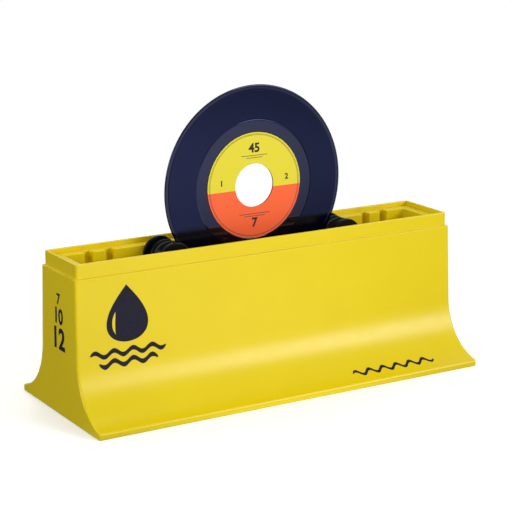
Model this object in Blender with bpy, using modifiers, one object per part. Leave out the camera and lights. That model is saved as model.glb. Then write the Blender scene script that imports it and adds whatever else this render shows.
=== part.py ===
"""Manual record washer: a flared basin, a water tank, two brushes and two rollers that carry a record.

Metres, +Z up. The origin is on the table, under the middle of the basin. X runs along the basin and
Y across it, so the record stands in the XZ plane and turns about Y.
"""

import math

import bmesh
import bpy
from mathutils import Matrix, Vector

MM = 0.001
SEAT_GAP = 0.3 * MM  # between touching pieces
OVERRUN = 2.0 * MM  # by which a cutter passes the face that it cuts
WELD_DISTANCE = 0.01 * MM  # under which points are merged
QUARTER_TURN = 90.0  # degrees

# Basin housing
BASE_LENGTH = 378.0 * MM
BASE_DEPTH = 151.3 * MM
BASIN_HEIGHT = 134.3 * MM
BAND_LENGTH = 369.2 * MM
BAND_DEPTH = 61.0 * MM
BAND_HEIGHT = 12.3 * MM
BAND_STEP = 2.0 * MM  # ledge that a lid rests on
BAND_WALL = 2.5 * MM
HOUSING_WALL = 3.0 * MM
FLARE_RADIUS = 50.5 * MM
FLARE_START_HEIGHT = 55.0 * MM
WALL_DRAFT = 2.0 * MM  # by which the wall leans in from the flare to the ledge
EDGE_RADIUS = 1.2 * MM
SHOULDER_HEIGHT = 7.7 * MM  # beam inside the rim that carries the tank's flange
SHOULDER_WIDTH = 3.5 * MM
FLARE_STEPS = 12

# Water tank
TANK_WALL = 2.5 * MM
TANK_DEPTH = 99.1 * MM  # from the flange's top down to the floor
TANK_CORNER_RADIUS = 4.0 * MM
TANK_FLANGE_DROP = 4.2 * MM  # from the rim down to the flange's top
FLANGE_THICKNESS = 2.5 * MM
SIDE_LEDGE_WIDTH = 10.0 * MM  # of the flange that shows along the tank
END_LEDGE_WIDTH = 10.1 * MM
SLOT_DEPTH = 11.85 * MM
SLOT_WIDTH = 7.6 * MM
SLOT_WALL = 2.0 * MM
SLOT_FLOOR_THICKNESS = 2.4 * MM
MEDIUM_SLOT_OFFSET = 129.9 * MM  # roller place for a 10-inch record
LARGE_SLOT_OFFSET = 149.4 * MM  # roller place for a 12-inch record
RAIL_END_MARGIN = 10.0 * MM  # from an outer slot's middle to the end of the rail that holds it
RAIL_HOOK_DROP = 5.0 * MM  # lip that hangs outside the tank's wall
RAIL_HOOK_THICKNESS = 2.4 * MM

# Record
RECORD_RADIUS = 87.3 * MM
RECORD_HOLE_RADIUS = 19.05 * MM
RECORD_RIM_HALF = 0.9 * MM
RECORD_RIM_WIDTH = 2.5 * MM
GROOVE_HALF = 0.65 * MM
RUN_OUT_RADIUS = 57.0 * MM
RUN_OUT_HALF = 0.8 * MM
LABEL_RADIUS = 46.3 * MM
LABEL_THICKNESS = 0.2 * MM
LABEL_PLAY = 0.1 * MM
RECORD_SEGMENTS = 96

# Rollers
ROLLER_OFFSET = 85.5 * MM
AXLE_RADIUS = 3.5 * MM
AXLE_END_PLAY = 0.4 * MM
GRIP_RING_RADIUS = 12.6 * MM
GRIP_RING_SECTION = 3.6 * MM  # radial height of the rubber ring
GRIP_RING_WIDTH = 3.2 * MM
GRIP_RING_CHAMFER = 0.6 * MM
GROOVE_LIP = 1.6 * MM  # by which the groove's sides stand over the rubber ring
GROOVE_LIP_WIDTH = 1.2 * MM
GROOVE_SLOPE = 1.5 * MM
NECK_RADIUS = 7.2 * MM
NECK_WIDTH = 1.7 * MM
FLANGE_RADIUS = 15.2 * MM
FLANGE_WIDTH = 3.3 * MM
FLANGE_EDGE = 0.5 * MM
WASHER_RADIUS = 6.5 * MM
WASHER_THICKNESS = 0.9 * MM
ROLLER_SEGMENTS = 36

# Brushes
BRUSH_TOP_DROP = 8.1 * MM  # from the flange's top down to the brushes
HOLDER_WIDTH = 41.0 * MM
HOLDER_THICKNESS = 3.0 * MM
HOLDER_CORNER_RADIUS = 5.0 * MM
HOLDER_EDGE = 0.6 * MM
GRIP_BEAD_RADIUS = 2.0 * MM
PAD_WIDTH = 33.0 * MM
PAD_MARGIN = 4.0 * MM  # bare holder above and below the pad
PAD_CORNER_RADIUS = 6.0 * MM
PILE_CLEARANCE = 0.35 * MM  # from the pile's face to the record's rim
PILE_THICKNESS = 4.2 * MM
PILE_EDGE = 1.4 * MM
FOAM_EDGE = 0.8 * MM
FOAM_INSET = 0.6 * MM
GUIDE_THICKNESS = 2.0 * MM
GUIDE_LIP = 1.8 * MM
GUIDE_PLAY = 0.4 * MM
GUIDE_HEAD_DROP = 3.0 * MM  # from the tank's top down to the guides' ends
GUIDE_FOOT_REACH = 3.5 * MM  # by which a guide's foot passes under the holder
CORNER_STEPS = 6
BEAD_SEGMENTS = 16

# Heights and places that follow from the sizes above
LEDGE_HEIGHT = BASIN_HEIGHT - BAND_HEIGHT
TANK_TOP_HEIGHT = BASIN_HEIGHT - TANK_FLANGE_DROP
FLANGE_UNDERSIDE_HEIGHT = TANK_TOP_HEIGHT - FLANGE_THICKNESS
SEAT_HEIGHT = FLANGE_UNDERSIDE_HEIGHT - SEAT_GAP
TANK_FLOOR_HEIGHT = TANK_TOP_HEIGHT - TANK_DEPTH
POCKET_LENGTH = BAND_LENGTH - 2 * BAND_WALL
POCKET_DEPTH = BAND_DEPTH - 2 * BAND_WALL
TANK_LENGTH = POCKET_LENGTH - 2 * END_LEDGE_WIDTH  # inside
TANK_WIDTH = POCKET_DEPTH - 2 * SIDE_LEDGE_WIDTH  # inside
FLANGE_LENGTH = POCKET_LENGTH - 2 * SEAT_GAP
FLANGE_DEPTH = POCKET_DEPTH - 2 * SEAT_GAP
SLOT_REACH = FLANGE_DEPTH - 2 * SLOT_WALL  # across the tank, from slot end to slot end
CONTACT_DISTANCE = RECORD_RADIUS + SEAT_GAP + GRIP_RING_RADIUS
SLOT_FLOOR_HEIGHT = TANK_TOP_HEIGHT - SLOT_DEPTH
AXLE_HEIGHT = SLOT_FLOOR_HEIGHT + SEAT_GAP + AXLE_RADIUS
RECORD_CENTRE_HEIGHT = AXLE_HEIGHT + math.sqrt(CONTACT_DISTANCE**2 - ROLLER_OFFSET**2)
AXLE_LENGTH = SLOT_REACH - 2 * AXLE_END_PLAY
BRUSH_REST_HEIGHT = TANK_FLOOR_HEIGHT + TANK_CORNER_RADIUS
BRUSH_TOP_HEIGHT = TANK_TOP_HEIGHT - BRUSH_TOP_DROP
SLOT_OFFSETS = (ROLLER_OFFSET, MEDIUM_SLOT_OFFSET, LARGE_SLOT_OFFSET)
RAIL_START = ROLLER_OFFSET - RAIL_END_MARGIN
RAIL_END = LARGE_SLOT_OFFSET + RAIL_END_MARGIN
RAIL_UNDERSIDE_HEIGHT = SLOT_FLOOR_HEIGHT - SLOT_FLOOR_THICKNESS

MATERIALS = {
    "yellow_plastic": ((0.80, 0.60, 0.03), 0.38, 0.0),
    "black_plastic": ((0.015, 0.015, 0.018), 0.32, 0.0),
    "rubber": ((0.02, 0.02, 0.022), 0.75, 0.0),
    "foam": ((0.16, 0.16, 0.17), 0.95, 0.0),
    "pile_fabric": ((0.70, 0.67, 0.58), 0.9, 0.0),
    "vinyl": ((0.012, 0.012, 0.035), 0.22, 0.0),
    "label_paper": ((0.88, 0.30, 0.08), 0.55, 0.0),
}


def clear_scene():
    """Removes every object, mesh and collection that the scene starts with."""
    for obj in list(bpy.data.objects):
        bpy.data.objects.remove(obj, do_unlink=True)
    for collection in list(bpy.data.collections):
        bpy.data.collections.remove(collection)


def new_collection(name):
    collection = bpy.data.collections.new(name)
    bpy.context.scene.collection.children.link(collection)
    return collection


def make_materials():
    made = {}
    for name, (colour, roughness, metallic) in MATERIALS.items():
        material = bpy.data.materials.new(name)
        material.use_nodes = True
        shader = material.node_tree.nodes["Principled BSDF"]
        shader.inputs["Base Color"].default_value = (*colour, 1.0)
        shader.inputs["Roughness"].default_value = roughness
        shader.inputs["Metallic"].default_value = metallic
        made[name] = material
    return made


def add_object(name, mesh, collection, material=None, location=(0.0, 0.0, 0.0)):
    obj = bpy.data.objects.new(name, mesh)
    collection.objects.link(obj)
    obj.location = location
    if material is not None:
        mesh.materials.append(material)
    return obj


def box_mesh(name, low, high):
    """A box between two corners."""
    low, high = Vector(low), Vector(high)
    mesh = bpy.data.meshes.new(name)
    bm = bmesh.new()
    size = high - low
    place = Matrix.Translation((low + high) / 2) @ Matrix.Diagonal((*size, 1.0))
    bmesh.ops.create_cube(bm, size=1.0, matrix=place)
    bm.to_mesh(mesh)
    bm.free()
    return mesh


def add_cutter(name, mesh, cutters):
    """A hidden solid that other pieces are cut with or joined to."""
    obj = add_object(name, mesh, cutters)
    obj.hide_render = True
    obj.display_type = "WIRE"
    return obj


def boolean(obj, other, operation):
    modifier = obj.modifiers.new(f"{operation.lower()}_{other.name}", "BOOLEAN")
    modifier.object = other
    modifier.operation = operation
    modifier.solver = "EXACT"
    return modifier


def bevel(obj, width, segments=2, angle=math.radians(40)):
    modifier = obj.modifiers.new("edge_rounding", "BEVEL")
    modifier.width = width
    modifier.segments = segments
    modifier.limit_method = "ANGLE"
    modifier.angle_limit = angle
    return modifier


def outline_mesh(name, points, half_thickness):
    """A flat outline in its own XY plane, thickened both ways along Z, as one closed mesh."""
    curve = bpy.data.curves.new(name, "CURVE")
    curve.dimensions = "2D"
    curve.fill_mode = "BOTH"
    curve.extrude = half_thickness
    spline = curve.splines.new("POLY")
    spline.points.add(len(points) - 1)
    for point, (x, y) in zip(spline.points, points):
        point.co = (x, y, 0.0, 1.0)
    spline.use_cyclic_u = True
    holder = bpy.data.objects.new(name, curve)
    bpy.context.scene.collection.objects.link(holder)
    graph = bpy.context.evaluated_depsgraph_get()
    mesh = bpy.data.meshes.new_from_object(holder.evaluated_get(graph))
    bpy.data.objects.remove(holder, do_unlink=True)
    bpy.data.curves.remove(curve)
    bm = bmesh.new()
    bm.from_mesh(mesh)
    bmesh.ops.remove_doubles(bm, verts=bm.verts, dist=WELD_DISTANCE)
    bmesh.ops.dissolve_limit(
        bm, angle_limit=math.radians(1), verts=bm.verts, edges=bm.edges
    )
    bmesh.ops.recalc_face_normals(bm, faces=bm.faces)
    bm.to_mesh(mesh)
    bm.free()
    mesh.name = name
    return mesh


def turned_object(name, profile, segments, collection, material=None):
    """A ring about Z whose section is the closed profile of (radius, height) points, outer side downwards."""
    mesh = bpy.data.meshes.new(name)
    bm = bmesh.new()
    verts = [bm.verts.new((radius, 0.0, height)) for radius, height in profile]
    for first, second in zip(verts, verts[1:] + verts[:1]):
        bm.edges.new((first, second))
    bm.to_mesh(mesh)
    bm.free()
    obj = add_object(name, mesh, collection, material)
    screw = obj.modifiers.new("turned", "SCREW")
    screw.axis = "Z"
    screw.steps = segments
    screw.render_steps = segments
    screw.use_merge_vertices = True
    screw.merge_threshold = WELD_DISTANCE
    screw.use_normal_calculate = False
    return obj


def shade(obj, angle=math.radians(35)):
    """Smooth shading with sharp edges kept, on the object's own mesh."""
    obj.data.shade_smooth()
    obj.data.set_sharp_from_angle(angle=angle)


def rounded_outline(width, low, high, radius):
    """Corner points of an upright rectangle about x = 0 with four round corners."""
    points = []
    centres = (
        (width / 2 - radius, high - radius, 0 * QUARTER_TURN),
        (-width / 2 + radius, high - radius, 1 * QUARTER_TURN),
        (-width / 2 + radius, low + radius, 2 * QUARTER_TURN),
        (width / 2 - radius, low + radius, 3 * QUARTER_TURN),
    )
    for x, z, start in centres:
        for step in range(CORNER_STEPS + 1):
            angle = math.radians(start + QUARTER_TURN * step / CORNER_STEPS)
            points.append((x + radius * math.cos(angle), z + radius * math.sin(angle)))
    return points


def housing_outline(inset, foot_height, top_height):
    """Half-profile points (y, z) of the flared wall, moved in by the inset, from the foot to the top."""
    centre_y = BAND_DEPTH / 2 + BAND_STEP + WALL_DRAFT + FLARE_RADIUS
    radius = FLARE_RADIUS + inset
    foot_y = BASE_DEPTH / 2 - inset
    start = math.acos((centre_y - foot_y) / radius)
    points = [(foot_y, foot_height)]
    for step in range(FLARE_STEPS + 1):
        angle = start * (1.0 - step / FLARE_STEPS)
        points.append(
            (
                centre_y - radius * math.cos(angle),
                FLARE_START_HEIGHT - radius * math.sin(angle),
            )
        )
    lean_share = (top_height - FLARE_START_HEIGHT) / (LEDGE_HEIGHT - FLARE_START_HEIGHT)
    points.append(
        (centre_y - FLARE_RADIUS - inset - WALL_DRAFT * lean_share, top_height)
    )
    return points


def housing_solid(name, inset, foot_height, top_height):
    """The flared wall's prism along X, its ends leaning in towards the ledge as the real ends do."""
    right = housing_outline(inset, foot_height, top_height)
    left = [(-y, z) for y, z in reversed(right)]
    mesh = outline_mesh(name, right + left, BASE_LENGTH / 2 - inset)
    mesh.transform(Matrix.Rotation(math.pi / 2, 4, "Z") @ Matrix.Rotation(math.pi / 2, 4, "X"))
    end_draft = (BASE_LENGTH - BAND_LENGTH) / 2 - BAND_STEP
    for vertex in mesh.vertices:
        lean = end_draft * vertex.co.z / LEDGE_HEIGHT
        vertex.co.x -= math.copysign(lean, vertex.co.x)
    return mesh


def make_outer_shell(collection, cutters, material):
    """Flared housing with the lid's band on top and a shoulder inside that carries the tank."""
    shell = add_object(
        "outer_shell",
        housing_solid("outer_shell", 0.0, 0.0, LEDGE_HEIGHT),
        collection,
        material,
    )
    bevel(shell, EDGE_RADIUS)
    band = add_cutter(
        "band",
        box_mesh(
            "band",
            (-BAND_LENGTH / 2, -BAND_DEPTH / 2, LEDGE_HEIGHT - SHOULDER_HEIGHT / 2),
            (BAND_LENGTH / 2, BAND_DEPTH / 2, BASIN_HEIGHT),
        ),
        cutters,
    )
    bevel(band, EDGE_RADIUS)
    hollow = add_cutter(
        "housing_hollow",
        housing_solid(
            "housing_hollow", HOUSING_WALL, -OVERRUN, SEAT_HEIGHT - SHOULDER_HEIGHT
        ),
        cutters,
    )
    pocket = add_cutter(
        "flange_pocket",
        box_mesh(
            "flange_pocket",
            (-POCKET_LENGTH / 2, -POCKET_DEPTH / 2, SEAT_HEIGHT),
            (POCKET_LENGTH / 2, POCKET_DEPTH / 2, BASIN_HEIGHT + OVERRUN),
        ),
        cutters,
    )
    window_x = POCKET_LENGTH / 2 - SHOULDER_WIDTH
    window_y = POCKET_DEPTH / 2 - SHOULDER_WIDTH
    window = add_cutter(
        "tank_window",
        box_mesh(
            "tank_window",
            (-window_x, -window_y, SEAT_HEIGHT - SHOULDER_HEIGHT - OVERRUN),
            (window_x, window_y, SEAT_HEIGHT + OVERRUN),
        ),
        cutters,
    )
    boolean(shell, band, "UNION")
    boolean(shell, hollow, "DIFFERENCE")
    boolean(shell, pocket, "DIFFERENCE")
    boolean(shell, window, "DIFFERENCE")
    for along in (-1, 1):
        near, far = rail_span(along, SEAT_GAP)
        notch = add_cutter(
            f"rail_notch_{along}",
            box_mesh(
                "rail_notch",
                (near, -POCKET_DEPTH / 2, SEAT_HEIGHT - SHOULDER_HEIGHT - OVERRUN),
                (far, POCKET_DEPTH / 2, SEAT_HEIGHT + OVERRUN),
            ),
            cutters,
        )
        boolean(shell, notch, "DIFFERENCE")
    shade(shell)
    return shell


def rail_span(along, clearance):
    """Low and high X of the rails at one end, widened by a clearance."""
    ends = (along * (RAIL_START - clearance), along * (RAIL_END + clearance))
    return min(ends), max(ends)


def make_axle_rail(name, along, across, collection, cutters, material):
    """One of four bars with open-topped slots for the axles, hooked over the tank's wall."""
    low_x, high_x = rail_span(along, 0.0)
    ys = sorted((across * TANK_WIDTH / 2, across * FLANGE_DEPTH / 2))
    rail = add_object(
        name,
        box_mesh(name, (low_x, ys[0], RAIL_UNDERSIDE_HEIGHT), (high_x, ys[1], TANK_TOP_HEIGHT)),
        collection,
        material,
    )
    hook_y = TANK_WIDTH / 2 + TANK_WALL + SEAT_GAP
    ys = sorted((across * hook_y, across * (hook_y + RAIL_HOOK_THICKNESS)))
    hook = add_cutter(
        f"{name}_hook",
        box_mesh(
            "rail_hook",
            (low_x, ys[0], RAIL_UNDERSIDE_HEIGHT - RAIL_HOOK_DROP),
            (high_x, ys[1], RAIL_UNDERSIDE_HEIGHT + SLOT_FLOOR_THICKNESS / 2),
        ),
        cutters,
    )
    boolean(rail, hook, "UNION")
    ys = sorted((0.0, across * SLOT_REACH / 2))
    for index, offset in enumerate(SLOT_OFFSETS):
        x = along * offset
        slot = add_cutter(
            f"{name}_slot_{index}",
            box_mesh(
                "axle_slot",
                (x - SLOT_WIDTH / 2, ys[0], SLOT_FLOOR_HEIGHT),
                (x + SLOT_WIDTH / 2, ys[1], TANK_TOP_HEIGHT + OVERRUN),
            ),
            cutters,
        )
        boolean(rail, slot, "DIFFERENCE")
    shade(rail)
    return rail


def make_water_tank(collection, cutters, material):
    """Narrow trough hung by its flange, its rim cut down for the axle rails, with brush guides inside."""
    outer_x = TANK_LENGTH / 2 + TANK_WALL
    outer_y = TANK_WIDTH / 2 + TANK_WALL
    outer_radius = TANK_CORNER_RADIUS + TANK_WALL
    tank = add_object(
        "water_tank",
        box_mesh(
            "water_tank",
            (-outer_x, -outer_y, TANK_FLOOR_HEIGHT - TANK_WALL),
            (outer_x, outer_y, TANK_TOP_HEIGHT + outer_radius + OVERRUN),
        ),
        collection,
        material,
    )
    bevel(tank, outer_radius, segments=4)
    trim = add_cutter(
        "tank_trim",
        box_mesh(
            "tank_trim",
            (-FLANGE_LENGTH, -FLANGE_DEPTH, TANK_TOP_HEIGHT - FLANGE_THICKNESS / 2),
            (FLANGE_LENGTH, FLANGE_DEPTH, TANK_TOP_HEIGHT + outer_radius + 2 * OVERRUN),
        ),
        cutters,
    )
    boolean(tank, trim, "DIFFERENCE")
    flange = add_cutter(
        "tank_flange",
        box_mesh(
            "tank_flange",
            (-FLANGE_LENGTH / 2, -FLANGE_DEPTH / 2, FLANGE_UNDERSIDE_HEIGHT),
            (FLANGE_LENGTH / 2, FLANGE_DEPTH / 2, TANK_TOP_HEIGHT),
        ),
        cutters,
    )
    boolean(tank, flange, "UNION")
    cavity = add_cutter(
        "tank_cavity",
        box_mesh(
            "tank_cavity",
            (-TANK_LENGTH / 2, -TANK_WIDTH / 2, TANK_FLOOR_HEIGHT),
            (TANK_LENGTH / 2, TANK_WIDTH / 2, TANK_TOP_HEIGHT + TANK_CORNER_RADIUS + OVERRUN),
        ),
        cutters,
    )
    bevel(cavity, TANK_CORNER_RADIUS, segments=4)
    boolean(tank, cavity, "DIFFERENCE")
    for along in (-1, 1):
        near, far = rail_span(along, SEAT_GAP)
        recess = add_cutter(
            f"rail_recess_{along}",
            box_mesh(
                "rail_recess",
                (near, -FLANGE_DEPTH, RAIL_UNDERSIDE_HEIGHT - SEAT_GAP),
                (far, FLANGE_DEPTH, TANK_TOP_HEIGHT + OVERRUN),
            ),
            cutters,
        )
        boolean(tank, recess, "DIFFERENCE")
    for across in (-1, 1):
        for along in (-1, 1):
            guide = add_cutter(
                f"brush_guide_{across}_{along}",
                guide_mesh(across, along),
                cutters,
            )
            boolean(tank, guide, "UNION")
            foot = add_cutter(
                f"guide_foot_{across}_{along}",
                guide_foot_mesh(across, along),
                cutters,
            )
            boolean(tank, foot, "UNION")
    shade(tank)
    return tank


def guide_mesh(across, along):
    """One L-shaped rail on the tank's long wall that holds an edge of a brush holder."""
    inner_x = HOLDER_WIDTH / 2 + GUIDE_PLAY
    outer_x = inner_x + GUIDE_THICKNESS
    wall_y = TANK_WIDTH / 2 + TANK_WALL / 2
    lip_y = TANK_WIDTH / 2 - 2 * GUIDE_PLAY - HOLDER_THICKNESS
    tip_y = lip_y - GUIDE_THICKNESS
    outline = [
        (outer_x, wall_y),
        (outer_x, tip_y),
        (inner_x - GUIDE_LIP, tip_y),
        (inner_x - GUIDE_LIP, lip_y),
        (inner_x, lip_y),
        (inner_x, wall_y),
    ]
    low = TANK_FLOOR_HEIGHT - TANK_WALL / 2
    high = TANK_TOP_HEIGHT - GUIDE_HEAD_DROP
    points = [(x * along, y * across) for x, y in outline]
    mesh = outline_mesh("brush_guide", points, (high - low) / 2)
    mesh.transform(Matrix.Translation((0.0, 0.0, (low + high) / 2)))
    return mesh


def guide_foot_mesh(across, along):
    """The block at the lower end of a guide that the brush holder stands on."""
    inner_x = HOLDER_WIDTH / 2 + GUIDE_PLAY
    xs = sorted((along * (inner_x - GUIDE_FOOT_REACH), along * (inner_x + GUIDE_THICKNESS)))
    wall_y = TANK_WIDTH / 2 + TANK_WALL / 2
    tip_y = TANK_WIDTH / 2 - 2 * GUIDE_PLAY - HOLDER_THICKNESS - GUIDE_THICKNESS
    ys = sorted((across * wall_y, across * tip_y))
    low = TANK_FLOOR_HEIGHT - TANK_WALL / 2
    return box_mesh("guide_foot", (xs[0], ys[0], low), (xs[1], ys[1], BRUSH_REST_HEIGHT))


def upright_plate(name, outline, near_y, far_y, collection, material):
    """A flat piece whose outline is seen from the front, between two depths."""
    mesh = outline_mesh(name, outline, abs(far_y - near_y) / 2)
    mesh.transform(Matrix.Rotation(math.pi / 2, 4, "X"))
    mesh.transform(Matrix.Translation((0.0, (near_y + far_y) / 2, 0.0)))
    return add_object(name, mesh, collection, material)


def make_brush(side, prefix, collection, cutters, materials):
    """The brush on one side of the record: a holder plate with a finger bead, a foam core and a pile pad."""
    low = BRUSH_REST_HEIGHT + SEAT_GAP
    back_y = TANK_WIDTH / 2 - GUIDE_PLAY
    plate_y = back_y - HOLDER_THICKNESS
    holder = upright_plate(
        f"{prefix}_holder",
        rounded_outline(HOLDER_WIDTH, low, BRUSH_TOP_HEIGHT, HOLDER_CORNER_RADIUS),
        side * plate_y,
        side * back_y,
        collection,
        materials["black_plastic"],
    )
    bevel(holder, HOLDER_EDGE)
    bead_length = PAD_WIDTH - 2 * PAD_CORNER_RADIUS
    bead = bpy.data.meshes.new("finger_bead")
    bm = bmesh.new()
    place = Matrix.Translation(
        (0.0, side * plate_y, BRUSH_TOP_HEIGHT - PAD_MARGIN / 2)
    ) @ Matrix.Rotation(math.pi / 2, 4, "Y")
    bmesh.ops.create_cone(
        bm,
        cap_ends=True,
        segments=BEAD_SEGMENTS,
        radius1=GRIP_BEAD_RADIUS,
        radius2=GRIP_BEAD_RADIUS,
        depth=bead_length,
        matrix=place,
    )
    bm.to_mesh(bead)
    bm.free()
    boolean(holder, add_cutter(f"{prefix}_finger_bead", bead, cutters), "UNION")
    shade(holder)

    pad_low = low + PAD_MARGIN
    pad_high = BRUSH_TOP_HEIGHT - PAD_MARGIN
    pile_face = RECORD_RIM_HALF + PILE_CLEARANCE
    pile_back = pile_face + PILE_THICKNESS
    pile = upright_plate(
        f"{prefix}_pile",
        rounded_outline(PAD_WIDTH, pad_low, pad_high, PAD_CORNER_RADIUS),
        side * pile_face,
        side * pile_back,
        collection,
        materials["pile_fabric"],
    )
    bevel(pile, PILE_EDGE, segments=3)
    shade(pile)
    foam = upright_plate(
        f"{prefix}_foam",
        rounded_outline(
            PAD_WIDTH - 2 * FOAM_INSET,
            pad_low + FOAM_INSET,
            pad_high - FOAM_INSET,
            PAD_CORNER_RADIUS - FOAM_INSET,
        ),
        side * (pile_back + SEAT_GAP),
        side * (plate_y - SEAT_GAP),
        collection,
        materials["foam"],
    )
    bevel(foam, FOAM_EDGE)
    shade(foam)
    return [holder, foam, pile]


def stand_on_axis(obj, side, x, z):
    """Turns a piece made about Z so that its +Z points along side times Y, at that axis."""
    obj.rotation_euler = (-side * math.pi / 2, 0.0, 0.0)
    obj.location = (x, 0.0, z)


def spool_profile():
    """Section of one roller half, from the split at the record's plane out to the tank's wall."""
    bore = AXLE_RADIUS + SEAT_GAP
    ring_seat = GRIP_RING_RADIUS - GRIP_RING_SECTION - SEAT_GAP
    ring_side = GRIP_RING_WIDTH / 2 + SEAT_GAP
    lip_radius = GRIP_RING_RADIUS + GROOVE_LIP
    lip_start = ring_side + GROOVE_SLOPE
    lip_end = lip_start + GROOVE_LIP_WIDTH
    outer = TANK_WIDTH / 2 - WASHER_THICKNESS - 2 * SEAT_GAP
    flange_inner = outer - FLANGE_WIDTH
    neck_start = flange_inner - NECK_WIDTH
    return [
        (FLANGE_RADIUS - FLANGE_EDGE, outer),
        (FLANGE_RADIUS, outer - FLANGE_EDGE),
        (FLANGE_RADIUS, flange_inner + FLANGE_EDGE),
        (FLANGE_RADIUS - FLANGE_EDGE, flange_inner),
        (NECK_RADIUS, flange_inner),
        (NECK_RADIUS, neck_start),
        (lip_radius, lip_end),
        (lip_radius, lip_start),
        (GRIP_RING_RADIUS - GRIP_RING_CHAMFER, ring_side),
        (ring_seat, ring_side),
        (ring_seat, SEAT_GAP / 2),
        (bore, SEAT_GAP / 2),
        (bore, outer),
    ]


def make_roller(prefix, x, collection, materials):
    """Spool in two halves on an axle, with a rubber ring in its groove and a washer at each end."""
    pieces = []
    axle_mesh = bpy.data.meshes.new(f"{prefix}_axle")
    bm = bmesh.new()
    bmesh.ops.create_cone(
        bm,
        cap_ends=True,
        segments=ROLLER_SEGMENTS,
        radius1=AXLE_RADIUS,
        radius2=AXLE_RADIUS,
        depth=AXLE_LENGTH,
    )
    bm.to_mesh(axle_mesh)
    bm.free()
    axle = add_object(f"{prefix}_axle", axle_mesh, collection, materials["black_plastic"])
    bevel(axle, SEAT_GAP, segments=1)
    stand_on_axis(axle, 1, x, AXLE_HEIGHT)
    pieces.append(axle)

    half_ring = GRIP_RING_WIDTH / 2
    ring_inner = GRIP_RING_RADIUS - GRIP_RING_SECTION
    ring = turned_object(
        f"{prefix}_grip_ring",
        [
            (GRIP_RING_RADIUS - GRIP_RING_CHAMFER, half_ring),
            (GRIP_RING_RADIUS, half_ring - GRIP_RING_CHAMFER),
            (GRIP_RING_RADIUS, GRIP_RING_CHAMFER - half_ring),
            (GRIP_RING_RADIUS - GRIP_RING_CHAMFER, -half_ring),
            (ring_inner, -half_ring),
            (ring_inner, half_ring),
        ],
        ROLLER_SEGMENTS,
        collection,
        materials["rubber"],
    )
    stand_on_axis(ring, 1, x, AXLE_HEIGHT)
    pieces.append(ring)

    washer_high = TANK_WIDTH / 2 - SEAT_GAP
    washer_low = washer_high - WASHER_THICKNESS
    bore = AXLE_RADIUS + SEAT_GAP
    for side, place in ((-1, "front"), (1, "rear")):
        spool = turned_object(
            f"{prefix}_spool_{place}",
            spool_profile(),
            ROLLER_SEGMENTS,
            collection,
            materials["black_plastic"],
        )
        stand_on_axis(spool, side, x, AXLE_HEIGHT)
        washer = turned_object(
            f"{prefix}_washer_{place}",
            [
                (WASHER_RADIUS, washer_high),
                (WASHER_RADIUS, washer_low),
                (bore, washer_low),
                (bore, washer_high),
            ],
            ROLLER_SEGMENTS,
            collection,
            materials["black_plastic"],
        )
        stand_on_axis(washer, side, x, AXLE_HEIGHT)
        pieces += [spool, washer]
    return pieces


def make_record(collection, materials):
    """A 7-inch single with its rim bead, grooved zone, run-out zone and a sunk label on each side."""
    label_floor = RUN_OUT_HALF - LABEL_THICKNESS - SEAT_GAP
    recess_radius = LABEL_RADIUS + LABEL_PLAY
    half_profile = [
        (RECORD_RADIUS, RECORD_RIM_HALF / 2),
        (RECORD_RADIUS - RECORD_RIM_HALF / 2, RECORD_RIM_HALF),
        (RECORD_RADIUS - RECORD_RIM_WIDTH, RECORD_RIM_HALF),
        (RECORD_RADIUS - RECORD_RIM_WIDTH - RECORD_RIM_HALF, GROOVE_HALF),
        (RUN_OUT_RADIUS, GROOVE_HALF),
        (RUN_OUT_RADIUS - RECORD_RIM_HALF / 2, RUN_OUT_HALF),
        (recess_radius, RUN_OUT_HALF),
        (recess_radius, label_floor),
        (RECORD_HOLE_RADIUS, label_floor),
    ]
    mirrored = [(radius, -height) for radius, height in half_profile]
    profile = list(reversed(half_profile)) + mirrored
    disc = turned_object("record_disc", profile, RECORD_SEGMENTS, collection, materials["vinyl"])
    stand_on_axis(disc, 1, 0.0, RECORD_CENTRE_HEIGHT)
    pieces = [disc]
    for side, place in ((-1, "front"), (1, "rear")):
        label = turned_object(
            f"record_label_{place}",
            [
                (LABEL_RADIUS, RUN_OUT_HALF),
                (LABEL_RADIUS, RUN_OUT_HALF - LABEL_THICKNESS),
                (RECORD_HOLE_RADIUS, RUN_OUT_HALF - LABEL_THICKNESS),
                (RECORD_HOLE_RADIUS, RUN_OUT_HALF),
            ],
            RECORD_SEGMENTS // 2,
            collection,
            materials["label_paper"],
        )
        stand_on_axis(label, side, 0.0, RECORD_CENTRE_HEIGHT)
        pieces.append(label)
    return pieces


def main():
    clear_scene()
    materials = make_materials()
    parts = new_collection("record_washer")
    cutters = new_collection("record_washer_cutters")
    make_outer_shell(parts, cutters, materials["yellow_plastic"])
    make_water_tank(parts, cutters, materials["yellow_plastic"])
    for along, end in ((-1, "left"), (1, "right")):
        for across, side in ((-1, "front"), (1, "rear")):
            name = f"axle_rail_{end}_{side}"
            make_axle_rail(name, along, across, parts, cutters, materials["yellow_plastic"])
    make_brush(-1, "brush_front", parts, cutters, materials)
    make_brush(1, "brush_rear", parts, cutters, materials)
    make_roller("roller_left", -ROLLER_OFFSET, parts, materials)
    make_roller("roller_right", ROLLER_OFFSET, parts, materials)
    make_record(parts, materials)


main()
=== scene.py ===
import logging
import math
from collections.abc import Callable, Sequence
from dataclasses import dataclass
from enum import Enum
from functools import cache, partial, partialmethod

import bmesh
import bpy
from mathutils import Matrix, Vector


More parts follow.
